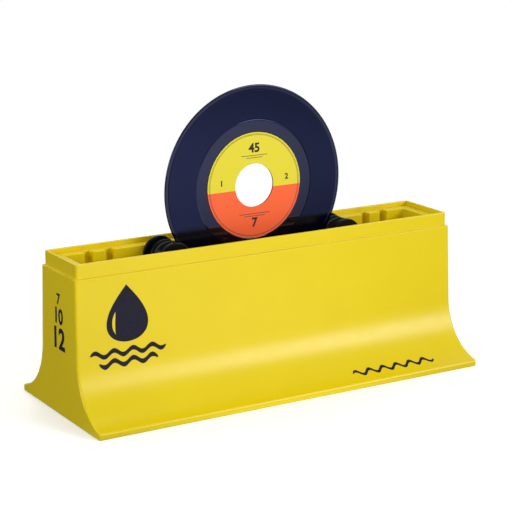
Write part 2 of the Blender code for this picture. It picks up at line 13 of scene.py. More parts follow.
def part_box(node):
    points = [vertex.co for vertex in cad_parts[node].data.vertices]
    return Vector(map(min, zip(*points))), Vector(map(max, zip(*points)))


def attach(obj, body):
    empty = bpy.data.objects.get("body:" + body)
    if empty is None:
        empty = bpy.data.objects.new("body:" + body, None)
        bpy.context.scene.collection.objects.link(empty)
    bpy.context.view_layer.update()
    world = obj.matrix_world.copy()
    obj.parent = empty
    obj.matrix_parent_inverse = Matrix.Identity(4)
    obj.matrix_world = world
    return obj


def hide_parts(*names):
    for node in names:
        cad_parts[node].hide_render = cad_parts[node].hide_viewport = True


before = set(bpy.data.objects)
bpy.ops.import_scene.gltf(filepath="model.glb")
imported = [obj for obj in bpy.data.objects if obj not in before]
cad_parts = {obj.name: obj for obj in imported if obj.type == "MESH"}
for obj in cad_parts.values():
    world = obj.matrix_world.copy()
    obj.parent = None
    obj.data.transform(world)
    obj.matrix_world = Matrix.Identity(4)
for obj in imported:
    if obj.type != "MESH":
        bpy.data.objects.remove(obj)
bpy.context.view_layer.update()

MM = 0.001
QUARTER = math.pi / 2
WHITE = (1.0, 1.0, 1.0)
WELD = 0.002 * MM  # points nearer than this are one
NOISE_RANGE = (0.3, 0.7)  # where most of a noise texture's values lie
log = logging.getLogger("record_washer")

Pair = tuple[float, float]
Colour = tuple[float, float, float]
Place = tuple[float, float, float]
Quad = tuple[float, float, float, float]
Figure = tuple[str, float, float, float]  # plain number, X and Z of its middle, height
Placer = Callable[[float, float, float], Vector]  # puts a flat point and a lift on a surface
Socket = bpy.types.NodeSocket
Material = bpy.types.Material
Mesh = bpy.types.Mesh
Piece = bpy.types.Object
BMesh = bmesh.types.BMesh


class Side(Enum):
    """The two sides of the record's plane; the value is the sign of Y."""

    FRONT = -1
    REAR = 1


class End(Enum):
    """The two ends of the basin; the value is the sign of X."""

    LEFT = -1
    RIGHT = 1


# Node trees


class Graph:
    """A material's or a geometry's node tree, with short calls that add and join nodes."""

    def __init__(self, tree: bpy.types.NodeTree) -> None:
        """Wraps a node tree."""
        self.tree = tree

    def feed(self, target: Socket, value: object) -> None:
        """Sets a socket to a value, or links another socket to it.

        Args:
            target: the socket that is set.
            value: a plain value, or the socket that is linked.
        """
        if isinstance(value, Socket):
            self.tree.links.new(value, target)
        else:
            target.default_value = value

    def node(
        self, kind: str, given: dict[str | int, object] | None = None, **settings: object
    ) -> bpy.types.Node:
        """Adds a node.

        Args:
            kind: the node's type name.
            given: values or sockets for its inputs, by the input's name or place.
            settings: attributes to set on the node.

        Returns:
            The new node.
        """
        made = self.tree.nodes.new(kind)
        for name, value in settings.items():
            setattr(made, name, value)
        for key, value in (given or {}).items():
            self.feed(made.inputs[key], value)
        return made

    def math(self, operation: str, *values: object) -> Socket:
        """Adds a Math node with numbers or sockets in the order of its inputs."""
        return self.node("ShaderNodeMath", dict(enumerate(values)), operation=operation).outputs[0]

    # The same call with its operation given
    add = partialmethod(math, "ADD")
    less = partialmethod(math, "SUBTRACT")
    times = partialmethod(math, "MULTIPLY")

    def parts(self, vector: Socket) -> Sequence[Socket]:
        """Splits a vector into its X, Y and Z."""
        return self.node("ShaderNodeSeparateXYZ", {0: vector}).outputs

    def vector(self, *values: object) -> Socket:
        """Joins numbers or sockets into a vector."""
        return self.node("ShaderNodeCombineXYZ", dict(enumerate(values))).outputs[0]

    def diagonal(self, first: object, second: object) -> Socket:
        """Takes the square root of the sum of two squares."""
        squares = [self.times(value, value) for value in (first, second)]
        return self.math("SQRT", self.add(*squares))

    def ramp(
        self,
        value: object,
        low: object,
        high: object,
        out_low: object = 0.0,
        out_high: object = 1.0,
        smooth: bool = False,
    ) -> Socket:
        """Maps a value from one range to another, clamped.

        Args:
            value: the number or socket that is mapped.
            low: the value that gives out_low.
            high: the value that gives out_high.
            out_low: result at low.
            out_high: result at high.
            smooth: eases in and out where true.

        Returns:
            The mapped socket.
        """
        given = dict(enumerate((value, low, high, out_low, out_high)))
        way = "SMOOTHSTEP" if smooth else "LINEAR"
        return self.node("ShaderNodeMapRange", given, clamp=True, interpolation_type=way).outputs[0]

    def spread(self, noise: Socket, low: float = 0.0, high: float = 1.0) -> Socket:
        """Stretches a noise's usual range to another one."""
        return self.ramp(noise, *NOISE_RANGE, low, high)

    def near(self, value: object, level: float, reach: float, fade: float) -> Socket:
        """Marks with 1 what lies within reach of a level, and fades to 0 over a distance more."""
        away = self.math("ABSOLUTE", self.less(value, level))
        return self.ramp(away, reach, reach + fade, 1.0, 0.0)

    def mix(self, share: object, first: object, second: object) -> Socket:
        """Mixes two colours.

        Args:
            share: how much of the second colour, as a number or a socket.
            first: a colour or a socket.
            second: a colour or a socket.

        Returns:
            The mixed colour's socket.
        """
        made = self.node("ShaderNodeMix", {"Factor": share}, data_type="RGBA")
        colours = [s for s in made.inputs if s.type == "RGBA"]
        for socket, value in zip(colours, (first, second)):
            self.feed(socket, (*value, 1.0) if isinstance(value, tuple) else value)
        return next(s for s in made.outputs if s.type == "RGBA")


class Surface(Graph):
    """A new material with its Principled shader and Object coordinates at hand."""

    def __init__(self, name: str) -> None:
        """Makes the material.

        Args:
            name: the material's name.
        """
        self.material = bpy.data.materials.new(name)
        self.material.use_nodes = True
        super().__init__(self.material.node_tree)
        self.shader = self.tree.nodes["Principled BSDF"]
        self.place = self.node("ShaderNodeTexCoord").outputs["Object"]

    def set(self, **values: object) -> None:
        """Sets or links the shader's inputs; an underscore in a name stands for a space."""
        for name, value in values.items():
            self.feed(self.shader.inputs[name.replace("_", " ")], value)

    def noise(self, grain: float, detail: float, place: Socket | None = None) -> Socket:
        """Adds a noise texture with blotches of a size in metres."""
        given = {"Vector": place or self.place, "Scale": 1.0 / grain, "Detail": detail}
        return self.node("ShaderNodeTexNoise", given).outputs[0]

    def bump(self, height: Socket, depth: float) -> None:
        """Adds relief from a height of 0 to 1 and the relief's real depth."""
        made = self.node("ShaderNodeBump", {"Distance": depth, "Height": height})
        self.set(Normal=made.outputs[0])

    def polar(self, centre: Place) -> tuple[Socket, Socket, Socket]:
        """Finds where the shaded point lies on a disc that faces Y.

        Args:
            centre: the disc's centre.

        Returns:
            X and Z from the centre, and the distance from the axis.
        """
        shift = self.node("ShaderNodeVectorMath", {0: self.place, 1: centre}, operation="SUBTRACT")
        x, _, z = self.parts(shift.outputs[0])
        return x, z, self.diagonal(x, z)


# Finishes


@dataclass(frozen=True)
class Finish:
    name: str
    slot: str
    colour: Colour

    @cache
    def material(self) -> Material:
        """Builds the material, the first time only.

        Returns:
            The material.
        """
        surface = Surface(self.name)
        self.dress(surface)
        return surface.material

    def dress(self, g: Surface) -> None:
        """Sets the surface's shader; each kind of finish has its own way."""
        raise NotImplementedError

    def scaled(self, share: float) -> Colour:
        """Returns the main colour times a share."""
        return tuple(share * part for part in self.colour)


@dataclass(frozen=True)
class MouldedPlastic(Finish):
    """Injection-moulded plastic: fine mould grain, faint flow mottling and light handling marks."""

    deep_colour: Colour
    roughness: float
    polish_spread: float
    shine: float
    grain_depth: float = 0.012 * MM
    grain: float = 0.5 * MM
    blotch: float = 35.0 * MM
    patches_per_blotch: float = 6.0

    def dress(self, g: Surface) -> None:
        """Sets the shader: mottled colour, rubbed patches and grain.

        Args:
            g: the surface.
        """
        mottle = g.spread(g.noise(self.blotch, 3.0))
        low, high = self.roughness - self.polish_spread, self.roughness + self.polish_spread
        patches = g.noise(self.blotch / self.patches_per_blotch, 5.0)
        g.set(
            Base_Color=g.mix(mottle, self.colour, self.deep_colour),
            Roughness=g.spread(patches, low, high),
            IOR=1.5,
            Specular_IOR_Level=self.shine,
        )
        g.bump(g.noise(self.grain, 2.0), self.grain_depth)


@dataclass(frozen=True)
class Grained(Finish):
    """One noise that tints, roughens and raises: a print's uneven film, or matt rubber's grain."""

    tint: Colour
    tinted: Pair
    roughness: Pair
    shine: float
    grain: float
    detail: float
    depth: float
    roughened: Pair = (0.2, 0.8)

    def dress(self, g: Surface) -> None:
        """Sets the shader from the noise.

        Args:
            g: the surface.
        """
        noise = g.noise(self.grain, self.detail)
        g.set(
            Base_Color=g.mix(g.ramp(noise, *self.tinted), self.colour, self.tint),
            Roughness=g.ramp(noise, *self.roughened, *self.roughness),
            Specular_IOR_Level=self.shine,
        )
        g.bump(noise, self.depth)


@dataclass(frozen=True)
class Vinyl(Finish):
    """Pressed vinyl: turned grooves that stretch highlights across them, and a smooth run-out."""

    centre: Place
    # a little paler than the grooves: a painted sheen on the smooth run-out
    run_out_sheen_colour: Colour
    run_out_radius: float
    groove_radius: float
    gloss: float = 0.6
    gloss_tint: Colour = (0.29, 0.35, 1.0)
    smooth_coat: float = 0.4
    smooth_roughness: float = 0.08
    groove_roughness: Pair = (0.11, 0.17)
    groove_depth: float = 0.004 * MM
    pitch: float = 0.45 * MM
    loud_width: float = 2.2 * MM
    # loud bands painted paler: a painted sheen
    loud_sheen_paleness: float = 1.6
    soft_edge: float = 0.4 * MM

    def dress(self, g: Surface) -> None:
        """Sets the shader by the distance from the disc's axis.

        Args:
            g: the surface.
        """
        _, _, radius = g.polar(self.centre)
        soft = self.soft_edge
        inside = g.near(radius, 0.0, self.run_out_radius - soft, 2 * soft)
        outside = g.ramp(radius, self.groove_radius - soft, self.groove_radius + soft)
        smooth = g.math("MAXIMUM", inside, outside)
        loudness = g.noise(self.loud_width, 6.0, g.vector(radius))
        # painted sheen: loud bands a little paler; their change of roughness below is real
        grooves = g.mix(g.spread(loudness), self.colour, self.scaled(self.loud_sheen_paleness))
        rough = g.spread(loudness, *self.groove_roughness)
        # the run-out's paler colour is a painted sheen; its coat and lower roughness are real
        g.set(
            Base_Color=g.mix(smooth, grooves, self.run_out_sheen_colour),
            Roughness=g.ramp(smooth, 0.0, 1.0, rough, self.smooth_roughness),
            IOR=1.5,
            Specular_IOR_Level=self.gloss,
            Specular_Tint=(*self.gloss_tint, 1.0),
            Coat_Weight=g.ramp(smooth, 0.0, 1.0, 0.0, self.smooth_coat),
        )
        turns = g.math("SINE", g.times(radius, math.tau / self.pitch))
        cut = g.times(turns, g.less(1.0, smooth))
        g.bump(g.ramp(cut, -1.0, 1.0), self.groove_depth)


@dataclass(frozen=True)
class LabelPaper(Finish):
    """Printed label paper: two colour fields, split across the middle, thin rules and fibre."""

    centre: Place
    lower: Colour
    rule: Colour
    radius: float
    aged: Colour = (0.35, 0.22, 0.05)
    aging: Quad = (0.25, 0.75, 0.0, 0.06)
    roughness: Pair = (0.5, 0.62)
    shine: float = 0.45
    split_height: float = -3.0 * MM
    print_edge: float = 0.08 * MM
    ring_insets: Pair = (1.6 * MM, 2.4 * MM)
    ring_half: float = 0.12 * MM
    bar_half: float = 0.22 * MM
    bars: tuple[Pair, ...] = (
        (26.2 * MM, 13.0 * MM),
        (24.2 * MM, 8.0 * MM),
        (-25.0 * MM, 15.0 * MM),
        (-27.0 * MM, 10.0 * MM),
    )  # height and half length
    fibre: float = 0.7 * MM
    fibre_depth: float = 0.02 * MM

    def dress(self, g: Surface) -> None:
        """Sets the shader: the two fields, the rings and bars on them, and the paper.

        Args:
            g: the surface.
        """
        x, z, radius = g.polar(self.centre)
        edge = self.print_edge
        field = g.ramp(z, self.split_height - edge, self.split_height + edge)
        colour = g.mix(field, self.lower, self.colour)
        marks = [g.near(radius, self.radius - inset, self.ring_half, edge)
                 for inset in self.ring_insets]
        for height, half_length in self.bars:
            across = g.near(x, 0.0, half_length, edge)
            along = g.near(z, height, self.bar_half, edge)
            marks.append(g.times(across, along))
        for mark in marks:
            colour = g.mix(mark, colour, self.rule)
        fibre = g.noise(self.fibre, 5.0)
        g.set(
            Base_Color=g.mix(g.ramp(fibre, *self.aging), colour, self.aged),
            Roughness=g.spread(fibre, *self.roughness),
            Specular_IOR_Level=self.shine,
        )
        g.bump(fibre, self.fibre_depth)


@dataclass(frozen=True)
class OpenFoam(Finish):
    """Open-cell foam: a froth of small pits, with painted shade in them."""

    cell: float = 0.9 * MM
    pit_depth: float = 0.25 * MM
    # share of the foam's colour left in the pits: painted shade
    painted_pit_shade: float = 0.35
    walls: Pair = (0.1, 0.6)

    def dress(self, g: Surface) -> None:
        """Sets the shader: painted shade in the pits, paler walls between them.

        Args:
            g: the surface.
        """
        given = {"Vector": g.place, "Scale": 1.0 / self.cell}
        cells = g.node("ShaderNodeTexVoronoi", given)
        wall = g.ramp(cells.outputs["Distance"], *self.walls)
        # painted shade: the pits take a darker copy of the foam's colour
        g.set(Base_Color=g.mix(wall, self.scaled(self.painted_pit_shade), self.colour), Roughness=0.95)
        g.bump(wall, self.pit_depth)


@dataclass(frozen=True)
class Pile(Finish):
    """Short dense pile fabric with a soft sheen, and light and shade painted along its lay."""

    # the pile's cream; the main colour is a shaded copy of it, for painted light and shade
    lit_tip_colour: Colour
    lay: float = 6.0 * MM
    strand: float = 0.5 * MM
    strand_depth: float = 0.08 * MM

    def dress(self, g: Surface) -> None:
        """Sets the shader: painted light and shade, cream where lay and strand meet, a darker copy
        elsewhere.

        Args:
            g: the surface.
        """
        strand = g.noise(self.strand, 2.0)
        lay = g.spread(g.noise(self.lay, 3.0))
        # painted light and shade: the lit share takes the cream, the rest a shaded copy
        lit_tips = g.times(lay, g.spread(strand))
        g.set(Base_Color=g.mix(lit_tips, self.colour, self.lit_tip_colour))
        g.set(Roughness=0.9, Sheen_Weight=0.4, Sheen_Roughness=0.5)
        g.bump(strand, self.strand_depth)


YELLOW = MouldedPlastic("yellow_plastic", "yellow_plastic", (0.81, 0.624, 0.002),
                        (0.79, 0.606, 0.001), roughness=0.32, polish_spread=0.03, shine=0.38)
BLACK = MouldedPlastic("black_plastic", "black_plastic", (0.004, 0.004, 0.005),
                       (0.006, 0.006, 0.007), roughness=0.23, polish_spread=0.04, shine=0.12,
                       grain_depth=0.003 * MM, blotch=12.0 * MM)
INK = Grained("navy_ink", "black_plastic", (0.007, 0.006, 0.024), (0.0162, 0.0156, 0.0264),
              (0.35, 0.75), (0.4, 0.5), shine=0.15, grain=1.2 * MM, detail=4.0, depth=0.01 * MM)
LABEL_INK = Grained("label_ink", "label_paper", (0.03, 0.025, 0.03), (0.03, 0.027, 0.03),
                    (0.35, 0.75), (0.5, 0.6), shine=0.15, grain=1.2 * MM, detail=4.0,
                    depth=0.01 * MM)
RUBBER = Grained("grip_rubber", "rubber", (0.018, 0.018, 0.02), (0.0396, 0.0396, 0.044),
                 (0.4, 0.8), (0.62, 0.8), shine=0.35, grain=0.35 * MM, detail=3.0,
                 depth=0.03 * MM)
FOAM = OpenFoam("brush_foam", "foam", (0.14, 0.14, 0.15))
# a shaded copy of the cream, then the cream itself: painted light and shade on the pile
PILE = Pile("brush_pile", "pile_fabric", (0.55, 0.50, 0.40), (0.82, 0.78, 0.68))


# Mesh helpers


def stood(name: str, data: bpy.types.ID) -> Piece:
    """Puts new data in the scene, at the origin.

    Args:
        name: the object's name.
        data: its mesh, curve, lamp or camera.

    Returns:
        The new object.
    """
    made = bpy.data.objects.new(name, data)
    bpy.context.scene.collection.objects.link(made)
    return made


def new_piece(
    name: str, mesh: Mesh, finish: Finish, body: str, replaced: Sequence[str] = ()
) -> Piece:
    """Puts a finished mesh in the scene, on its body.

    Args:
        name: the piece's name.
        mesh: its mesh, already in place.
        finish: its finish.
        body: the body that it rides on.
        replaced: model nodes that it stands for.

    Returns:
        The new object.
    """
    piece = stood(name, mesh)
    mesh.materials.clear()
    mesh.materials.append(finish.material())
    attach(piece, body)
    if replaced:
        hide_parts(*replaced)
    log.info("%s: %d faces on %s", name, len(mesh.polygons), body)
    return piece


def evened(piece: Piece) -> None:
    """Keeps rounded edges from shading the flat faces beside them."""
    piece.modifiers.new("even_shading", "WEIGHTED_NORMAL").keep_sharp = True


def shade(mesh: Mesh, angle: float) -> None:
    """Smooth shading, with edges sharper than the angle in degrees kept sharp."""
    mesh.shade_smooth()
    mesh.set_sharp_from_angle(angle=math.radians(angle))


def written(name: str, bm: BMesh) -> Mesh:
    """Writes a bmesh to a new mesh and frees it.

    Args:
        name: the mesh's name.
        bm: the source.

    Returns:
        The new mesh.
    """
    mesh = bpy.data.meshes.new(name)
    bm.to_mesh(mesh)
    bm.free()
    return mesh


def mesh_from(name: str, bm: BMesh, angle: float = 35.0) -> Mesh:
    """Writes a bmesh to a new mesh with outward faces and smooth shading.

    Args:
        name: the mesh's name.
        bm: the source, freed here.
        angle: edges sharper than this many degrees stay sharp.

    Returns:
        The new mesh.
    """
    bmesh.ops.recalc_face_normals(bm, faces=bm.faces)
    mesh = written(name, bm)
    shade(mesh, angle)
    return mesh


def absorb(bm: BMesh, mesh: Mesh) -> None:
    """Adds a mesh to a bmesh and removes it from the file."""
    bm.from_mesh(mesh)
    bpy.data.meshes.remove(mesh)


def applied(piece: Piece) -> Mesh:
    """Turns an object with modifiers or text into a plain mesh.

    Args:
        piece: the object, removed here.

    Returns:
        The evaluated mesh.
    """
    graph = bpy.context.evaluated_depsgraph_get()
    mesh = bpy.data.meshes.new_from_object(piece.evaluated_get(graph))
    bpy.data.objects.remove(piece)
    return mesh


def loft(rings: Sequence[Sequence[Vector]], closed_path: bool, bm: BMesh | None = None) -> BMesh:
    """Skins a row of rings that have the same number of points.

    Args:
        rings: the rings, in order.
        closed_path: joins the last ring to the first where true, and otherwise caps both ends.
        bm: the bmesh that takes the skin, where it isn't a new one.

    Returns:
        The bmesh with the skin.
    """
    if bm is None:
        bm = bmesh.new()
    loops = [[bm.verts.new(p) for p in ring] for ring in rings]
    pairs = list(zip(loops, loops[1:]))
    if closed_path:
        pairs.append((loops[-1], loops[0]))
    else:
        bm.faces.new(loops[0])
        bm.faces.new(list(reversed(loops[-1])))
    for low, high in pairs:
        for i, vert in enumerate(low):
            j = (i + 1) % len(low)
            bm.faces.new((vert, low[j], high[j], high[i]))
    return bm


def arc(middle: Pair, radius: float, start: float, end: float, steps: int) -> list[Pair]:
    """Lays points round a centre from one angle to another, both ends included."""
    angles = (start + (end - start) * step / steps for step in range(steps + 1))
    return [(middle[0] + radius * math.cos(a), middle[1] + radius * math.sin(a)) for a in angles]


def rounded_rectangle(half_x: float, half_y: float, z: float, radius: float) -> list[Vector]:
    """Lays points round a level rectangle with round corners.

    Args:
        half_x: half its size along X.
        half_y: half its size along Y.
        z: its height.
        radius: corner radius.

    Returns:
        The points, anticlockwise from above.
    """
    steps = 8
    points = []
    for turn, (sx, sy) in enumerate(((1, 1), (-1, 1), (-1, -1), (1, -1))):
        middle = (sx * (half_x - radius), sy * (half_y - radius))
        points += arc(middle, radius, turn * QUARTER, (turn + 1) * QUARTER, steps)
    return [Vector((x, y, z)) for x, y in points]


def filleted(points: Sequence[Pair], radius: float, steps: int = 4) -> list[Pair]:
    """Rounds the corners of a closed outline.

    Args:
        points: the outline's corners.
        radius: fillet radius, limited by each corner's shorter side.
        steps: segments in each fillet.

    Returns:
        The rounded outline.
    """
    nearly_straight = math.radians(170)
    side_share = 0.45
    result = []
    for i, point in enumerate(points):
        here = Vector(point)
        before = Vector(points[i - 1]) - here
        after = Vector(points[(i + 1) % len(points)]) - here
        turn = before.angle(after)
        if turn > nearly_straight:
            result.append(tuple(here))
            continue
        shorter = min(before.length, after.length)
        reach = min(radius / math.tan(turn / 2), side_share * shorter)
        start, end = here + before.normalized() * reach, here + after.normalized() * reach
        for step in range(steps + 1):
            t = step / steps
            result.append(tuple(start * (1 - t) ** 2 + here * 2 * t * (1 - t) + end * t**2))
    return result


def turned(name: str, profile: Sequence[Pair], centre: Vector, steps: int) -> Mesh:
    """Turns a closed outline about an axis along Y.

    Args:
        name: the mesh's name.
        profile: (radius, y) points.
        centre: a point on the axis, whose Y is added to the profile's.
        steps: segments round the axis.

    Returns:
        The turned mesh.
    """
    around = arc((0.0, 0.0), 1.0, 0.0, math.tau, steps)[:-1]
    rings = [[centre + Vector((r * x, y, r * z)) for r, y in profile] for x, z in around]
    return mesh_from(name, loft(rings, closed_path=True), angle=50.0)


class Grower(Graph):
    """A geometry tree with named inputs that ends in real geometry with its finish."""

    def __init__(self, name: str, sizes: dict[str, float], finish: Finish) -> None:
        """Makes the tree and its inputs.

        Args:
            name: the tree's name.
            sizes: the number inputs' values, by name.
            finish: the finish that the geometry takes.
        """
        super().__init__(bpy.data.node_groups.new(name, "GeometryNodeTree"))
        self.values = {**sizes, "Finish": finish.material()}
        kinds = {float: "NodeSocketFloat", int: "NodeSocketInt"}
        for label, value in self.values.items():
            kind = kinds.get(type(value), "NodeSocketMaterial")
            self.tree.interface.new_socket(label, in_out="INPUT", socket_type=kind)
        kind = "NodeSocketGeometry"
        self.tree.interface.new_socket("Geometry", in_out="OUTPUT", socket_type=kind)
        self.given = self.node("NodeGroupInput").outputs

    def grown(self, name: str, shape: Socket) -> Mesh:
        """Ends the tree and runs it.

        Args:
            name: the new mesh's name.
            shape: the tree's last geometry.

        Returns:
            The plain mesh.
        """
        real = self.node("GeometryNodeRealizeInstances", {0: shape})
        given = {"Geometry": real.outputs[0], "Material": self.given["Finish"]}
        finished = self.node("GeometryNodeSetMaterial", given)
        self.node("NodeGroupOutput", {0: finished.outputs[0]})
        holder = stood(name, bpy.data.meshes.new(name))
        modifier = holder.modifiers.new("grown", "NODES")
        modifier.node_group = self.tree
        for item in self.tree.interface.items_tree:
            if item.in_out == "INPUT":
                modifier[item.identifier] = self.values[item.name]
        mesh = applied(holder)
        mesh.name = name
        return mesh


# The basin


@dataclass
class Housing:
    """The flared outer shell with its rim band; sizes in metres, the rest from the frame."""

    band_step: float = 2.0 * MM
    band_height: float = 12.3 * MM
    band_wall: float = 2.5 * MM
    wall: float = 3.0 * MM
    flare_radius: float = 50.5 * MM
    flare_start: float = 55.0 * MM
    wall_draft: float = 2.0 * MM
    band_length: float = 369.2 * MM
    band_depth: float = 61.0 * MM
    corner: float = 2.2 * MM
    inner_corner: float = 1.4 * MM
    foot_round: float = 2.2 * MM
    underside_round: float = 0.9 * MM
    ledge_round: float = 0.6 * MM
    step_fillet: float = 0.7 * MM
    rim_round: float = 0.8 * MM
    seat_drop: float = 7.0 * MM
    shoulder_height: float = 7.7 * MM
    shoulder_width: float = 3.5 * MM
    rail_gap: float = 0.3 * MM
    flare_steps: int = 40
    foot_steps: int = 8
    round_steps: int = 4
    fillet_steps: int = 3
    sharp_angle: float = 40.0

    def __post_init__(self) -> None:
        """Takes the outer sizes from the frame."""
        self.half_length, self.half_depth, self.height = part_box("outer_shell")[1]
        self.ledge = self.height - self.band_height
        self.seat = self.height - self.seat_drop
        self.end_draft = self.half_length - self.band_length / 2 - self.band_step
        upper_half = self.band_depth / 2 + self.band_step + self.wall_draft
        self.flare_centre = upper_half + self.flare_radius

    def end_x(self, z: float) -> float:
        """Half the shell's length at a height."""
        return self.half_length - self.end_draft * z / self.ledge

    def wall_y(self, z: float) -> float:
        """Finds half the shell's depth, above the foot edge's round.

        Args:
            z: the height.

        Returns:
            The half depth.
        """
        if z >= self.flare_start:
            share = (z - self.flare_start) / (self.ledge - self.flare_start)
            return self.flare_centre - self.flare_radius - self.wall_draft * share
        drop = min(self.flare_start - z, self.flare_radius)
        return self.flare_centre - math.sqrt(self.flare_radius**2 - drop**2)

    def outside(self) -> list[Quad]:
        """Lays the wall's rows from the underside up to the rim's top.

        Returns:
            Each row's half length, half depth, height and corner radius.
        """
        rows = []
        r = self.underside_round
        for y, z in arc((self.half_depth - r, r), r, -QUARTER, 0.0, self.round_steps):
            inset = self.half_depth - y
            rows.append((self.end_x(z) - inset, y, z, self.corner - inset / 2))
        r = self.foot_round
        foot_y = self.half_depth - r
        drop = math.sqrt((self.flare_radius + r) ** 2 - (self.flare_centre - foot_y) ** 2)
        top = math.atan2(drop, self.flare_centre - foot_y)
        edge = arc((foot_y, self.flare_start - drop), r, 0.0, top, self.foot_steps)
        flare_middle = (self.flare_centre, self.flare_start)
        edge += arc(flare_middle, self.flare_radius, math.pi + top, math.pi, self.flare_steps)[1:]
        rows += [(self.end_x(z), y, z, self.corner) for y, z in edge]
        r = self.ledge_round
        for out, z in arc((-r, self.ledge - r), r, 0.0, QUARTER, self.round_steps):
            rows.append((self.end_x(z) + out, self.wall_y(z) + out, z, self.corner))
        half_x, half_y = self.band_length / 2, self.band_depth / 2
        r = self.step_fillet
        band = arc((r, self.ledge + r), r, -QUARTER, -math.pi, self.fillet_steps)
        r = self.rim_round
        band += arc((-r, self.height - r), r, 0.0, QUARTER, self.round_steps)
        return rows + [(half_x + out, half_y + out, z, self.corner) for out, z in band]

    def inside(self) -> list[Quad]:
        """Lays the wall's rows from the rim's top down the inside.

        Returns:
            Each row's half length, half depth, height and corner radius.
        """
        half_x, half_y = self.band_length / 2, self.band_depth / 2
        r = self.rim_round
        middle = (r - self.band_wall, self.height - r)
        pocket = arc(middle, r, QUARTER, math.pi, self.round_steps)
        shoulder = -self.band_wall - self.shoulder_width
        under = self.seat - self.shoulder_height
        pocket += [(-self.band_wall, self.seat), (shoulder, self.seat), (shoulder, under)]
        rows = [(half_x + out, half_y + out, z) for out, z in pocket]
        lower = [(self.wall_y(z) - self.wall, z) for z in (under, self.flare_start)]
        radius = self.flare_radius + self.wall
        bottom = math.acos((self.flare_centre - self.half_depth + self.wall) / radius)
        flare_middle = (self.flare_centre, self.flare_start)
        lower += arc(flare_middle, radius, math.pi, math.pi + bottom, self.flare_steps // 2)[1:]
        lower.append((self.half_depth - self.wall, 0.0))
        rows += [(self.end_x(z) - self.wall, y, z) for y, z in lower]
        return [(*row, self.inner_corner) for row in rows]

    def notches(self) -> Mesh:
        """Makes the cutters that open the shoulder for each pair of axle rails.

        Returns:
            One mesh with both blocks.
        """
        cutters = bmesh.new()
        depth = self.shoulder_height + 2 * self.wall
        across = self.band_depth - 2 * self.band_wall
        for end in End:
            low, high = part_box(f"axle_rail_{end.name.lower()}_front")
            middle = ((low.x + high.x) / 2, 0.0, self.seat + self.wall - depth / 2)
            place = Matrix.Translation(middle)
            size = Matrix.Diagonal((high.x - low.x + 2 * self.rail_gap, across, depth, 1.0))
            bmesh.ops.create_cube(cutters, size=1.0, matrix=place @ size)
        return written("notches", cutters)

    def build(self) -> None:
        """Makes the housing."""
        rings = [rounded_rectangle(*row) for row in self.outside() + self.inside()]
        raw = mesh_from("basin_housing", loft(rings, closed_path=True), self.sharp_angle)
        shell = stood("basin_housing_raw", raw)
        cutter = stood("notches", self.notches())
        cut = shell.modifiers.new("notches", "BOOLEAN")
        cut.object, cut.operation, cut.solver = cutter, "DIFFERENCE", "EXACT"
        whole = applied(shell)
        bpy.data.objects.remove(cutter)
        shade(whole, self.sharp_angle)
        evened(new_piece("basin_housing", whole, YELLOW, "basin", ["outer_shell"]))


# The printed marks


@dataclass(frozen=True)
class Wave:
    """A wavy line's length, thickness, half height from trough to crest, and wavelength."""

    width: float
    line: float
    swing: float
    pitch: float


